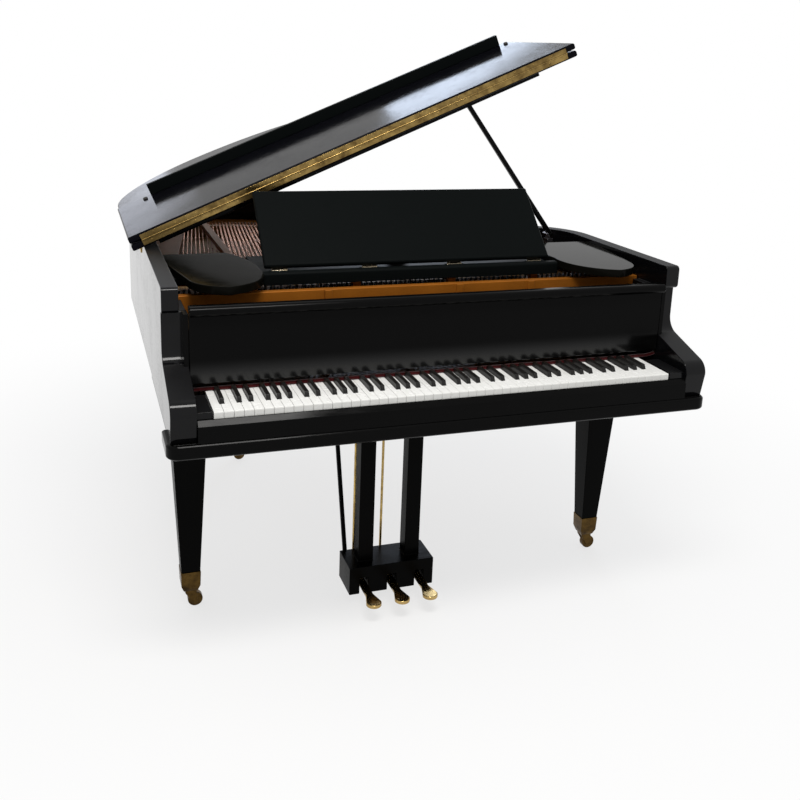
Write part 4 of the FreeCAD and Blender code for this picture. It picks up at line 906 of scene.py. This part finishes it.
button_rubber, tree, shader = start_material("button_rubber")
fresh_rubber = (0.012, 0.011, 0.010, 1)
bloomed_rubber = (0.035, 0.031, 0.028, 1)
place = rest_place(tree)
bloom = noise(tree, place, scale=120.0, detail=5)
feed(tree, shader, Base_Color=blend(tree, bloom, fresh_rubber, bloomed_rubber),
     Roughness=remap(tree, bloom, low=0.3, high=0.7, to_low=0.55, to_high=0.8))
bumpy(tree, shader, noise(tree, place, scale=1400.0, detail=2), strength=0.2, depth=0.0003)
lip_start, lip_end = extent("flap_lip", hinge_along)
button_setback = 0.022
upper_button_setback = button_setback * 0.6
button_sink = 0.0004
button_profile = [(0.0078, 0), (0.0078, 0.0025), (0.0070, 0.0052), (0.0048, 0.0066), (0.0014, 0.0072)]
front_band = 0.03
flap_points = [vert.co for vert in frame["nodes"]["lid_flap"].data.vertices]
rear_top = max((p - hinge_point).dot(lid_up) for p in flap_points)
front_top = max((p - hinge_point).dot(lid_up) for p in flap_points if p.y < hinge_point.y + front_band)
flap_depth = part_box("lid_flap")[1].y - hinge_point.y
button_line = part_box("flap_lip")[0].y - button_setback
button_height = front_top + (rear_top - front_top) * (button_line - hinge_point.y) / flap_depth - button_sink
buttons = bmesh.new()
for start in (lip_start - button_setback, lip_end + upper_button_setback):
    spot = hinge_point + hinge_along * start
    spot.y = button_line
    lathe(buttons, button_profile, spot + lid_up * button_height, lid_up, sides=20)
piece("rubber_buttons", buttons, button_rubber, "flap")

# Bass-side butt hinges: two brass leaves on the rim's outer side, each held by three slotted screws, with
# barrels along the rim's top edge that the lid's own leaves turn on.
brass = worn_metal("aged_brass", bright=(0.66, 0.47, 0.17, 1), dull=(0.30, 0.19, 0.06, 1), smooth=0.18,
                   rough=0.42, patch_scale=42.0)
dress(brass, "lid_hinges")
ease("lid_hinges", width=0.0005)
rim_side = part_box("case_rim")[0].x
outward = Vector((-1, 0, 0))
butt_edge_band = 0.002
butt_clear_of_rim = 0.0001
butt_screw_shares = (0.14, 0.5, 0.86)
butt_screw_rise = 0.013
butt_screw_radius = 0.0042
butt_slot_way = Vector((0, 0.8, 0.6))
butt_screws = bmesh.new()
for points in solid_groups("lid_hinges"):
    low, high = corners(points)
    lower_edge = [p.x for p in points if p.z < low.z + butt_edge_band]
    leaf_face = max(x for x in lower_edge if x < rim_side - butt_clear_of_rim)
    for share in butt_screw_shares:
        spot = Vector((leaf_face, low.y + (high.y - low.y) * share, low.z + butt_screw_rise))
        slotted_screw(butt_screws, spot, outward, butt_slot_way, butt_screw_radius)
piece("butt_hinge_screws", butt_screws, brass, "case")

# The lid prop: a tapered hardwood stick under rubbed lacquer. The eye at its foot turns on the pin of a
# blued steel bracket, a post that stands on the iron plate at the treble side.
dress(rubbed, "prop_stick")
ease("prop_stick", width=0.0018)
dress(blued_steel, "prop_bracket")
ease("prop_bracket", width=0.0006)

# The pedal lyre: block, posts and pedal box under a flatter black lacquer, with two slanting braces, hung
# below the keybed. Cast brass pedals, rubbed bright by shoes, lift brass rods that run up behind the posts.
flat_black = black_lacquer("flat_black_lacquer", tint=(0.0011, 0.0011, 0.0010, 1), smooth=0.28, cloudy=0.40,
                           gloss=0.030)
dress(flat_black, "lyre_frame", "lyre_braces")
ease("lyre_frame", "lyre_braces", width=0.0022)
pedal_brass = worn_metal("pedal_brass", bright=(0.52, 0.37, 0.15, 1), dull=(0.26, 0.165, 0.055, 1),
                         smooth=0.14, rough=0.36, patch_scale=20.0)
for side in ("left", "middle", "right"):
    dress(pedal_brass, side + "_pedal")
    ease(side + "_pedal", width=0.0028, steps=3)
    dress(brass, side + "_pedal_rod")
    ease(side + "_pedal_rod", width=0.0012)

# Legs and casters: square tapered legs with flared heads under the same flat black, each foot let into a
# ferrule. A fork turns in the ferrule and carries a wheel on its axle, all cast in brass that has gone dark.
foot_brass = worn_metal("foot_brass", bright=(0.095, 0.056, 0.016, 1), dull=(0.026, 0.015, 0.006, 1),
                        smooth=0.24, rough=0.48, patch_scale=34.0)
for side in ("left", "right", "rear"):
    dress(flat_black, side + "_leg")
    ease(side + "_leg", width=0.0020)
    dress(foot_brass, side + "_caster_fork", side + "_caster_wheel")
    ease(side + "_caster_fork", width=0.0010)
    ease(side + "_caster_wheel", width=0.0022, steps=3)
dress(foot_brass, "ferrules")
ease("ferrules", width=0.0016)
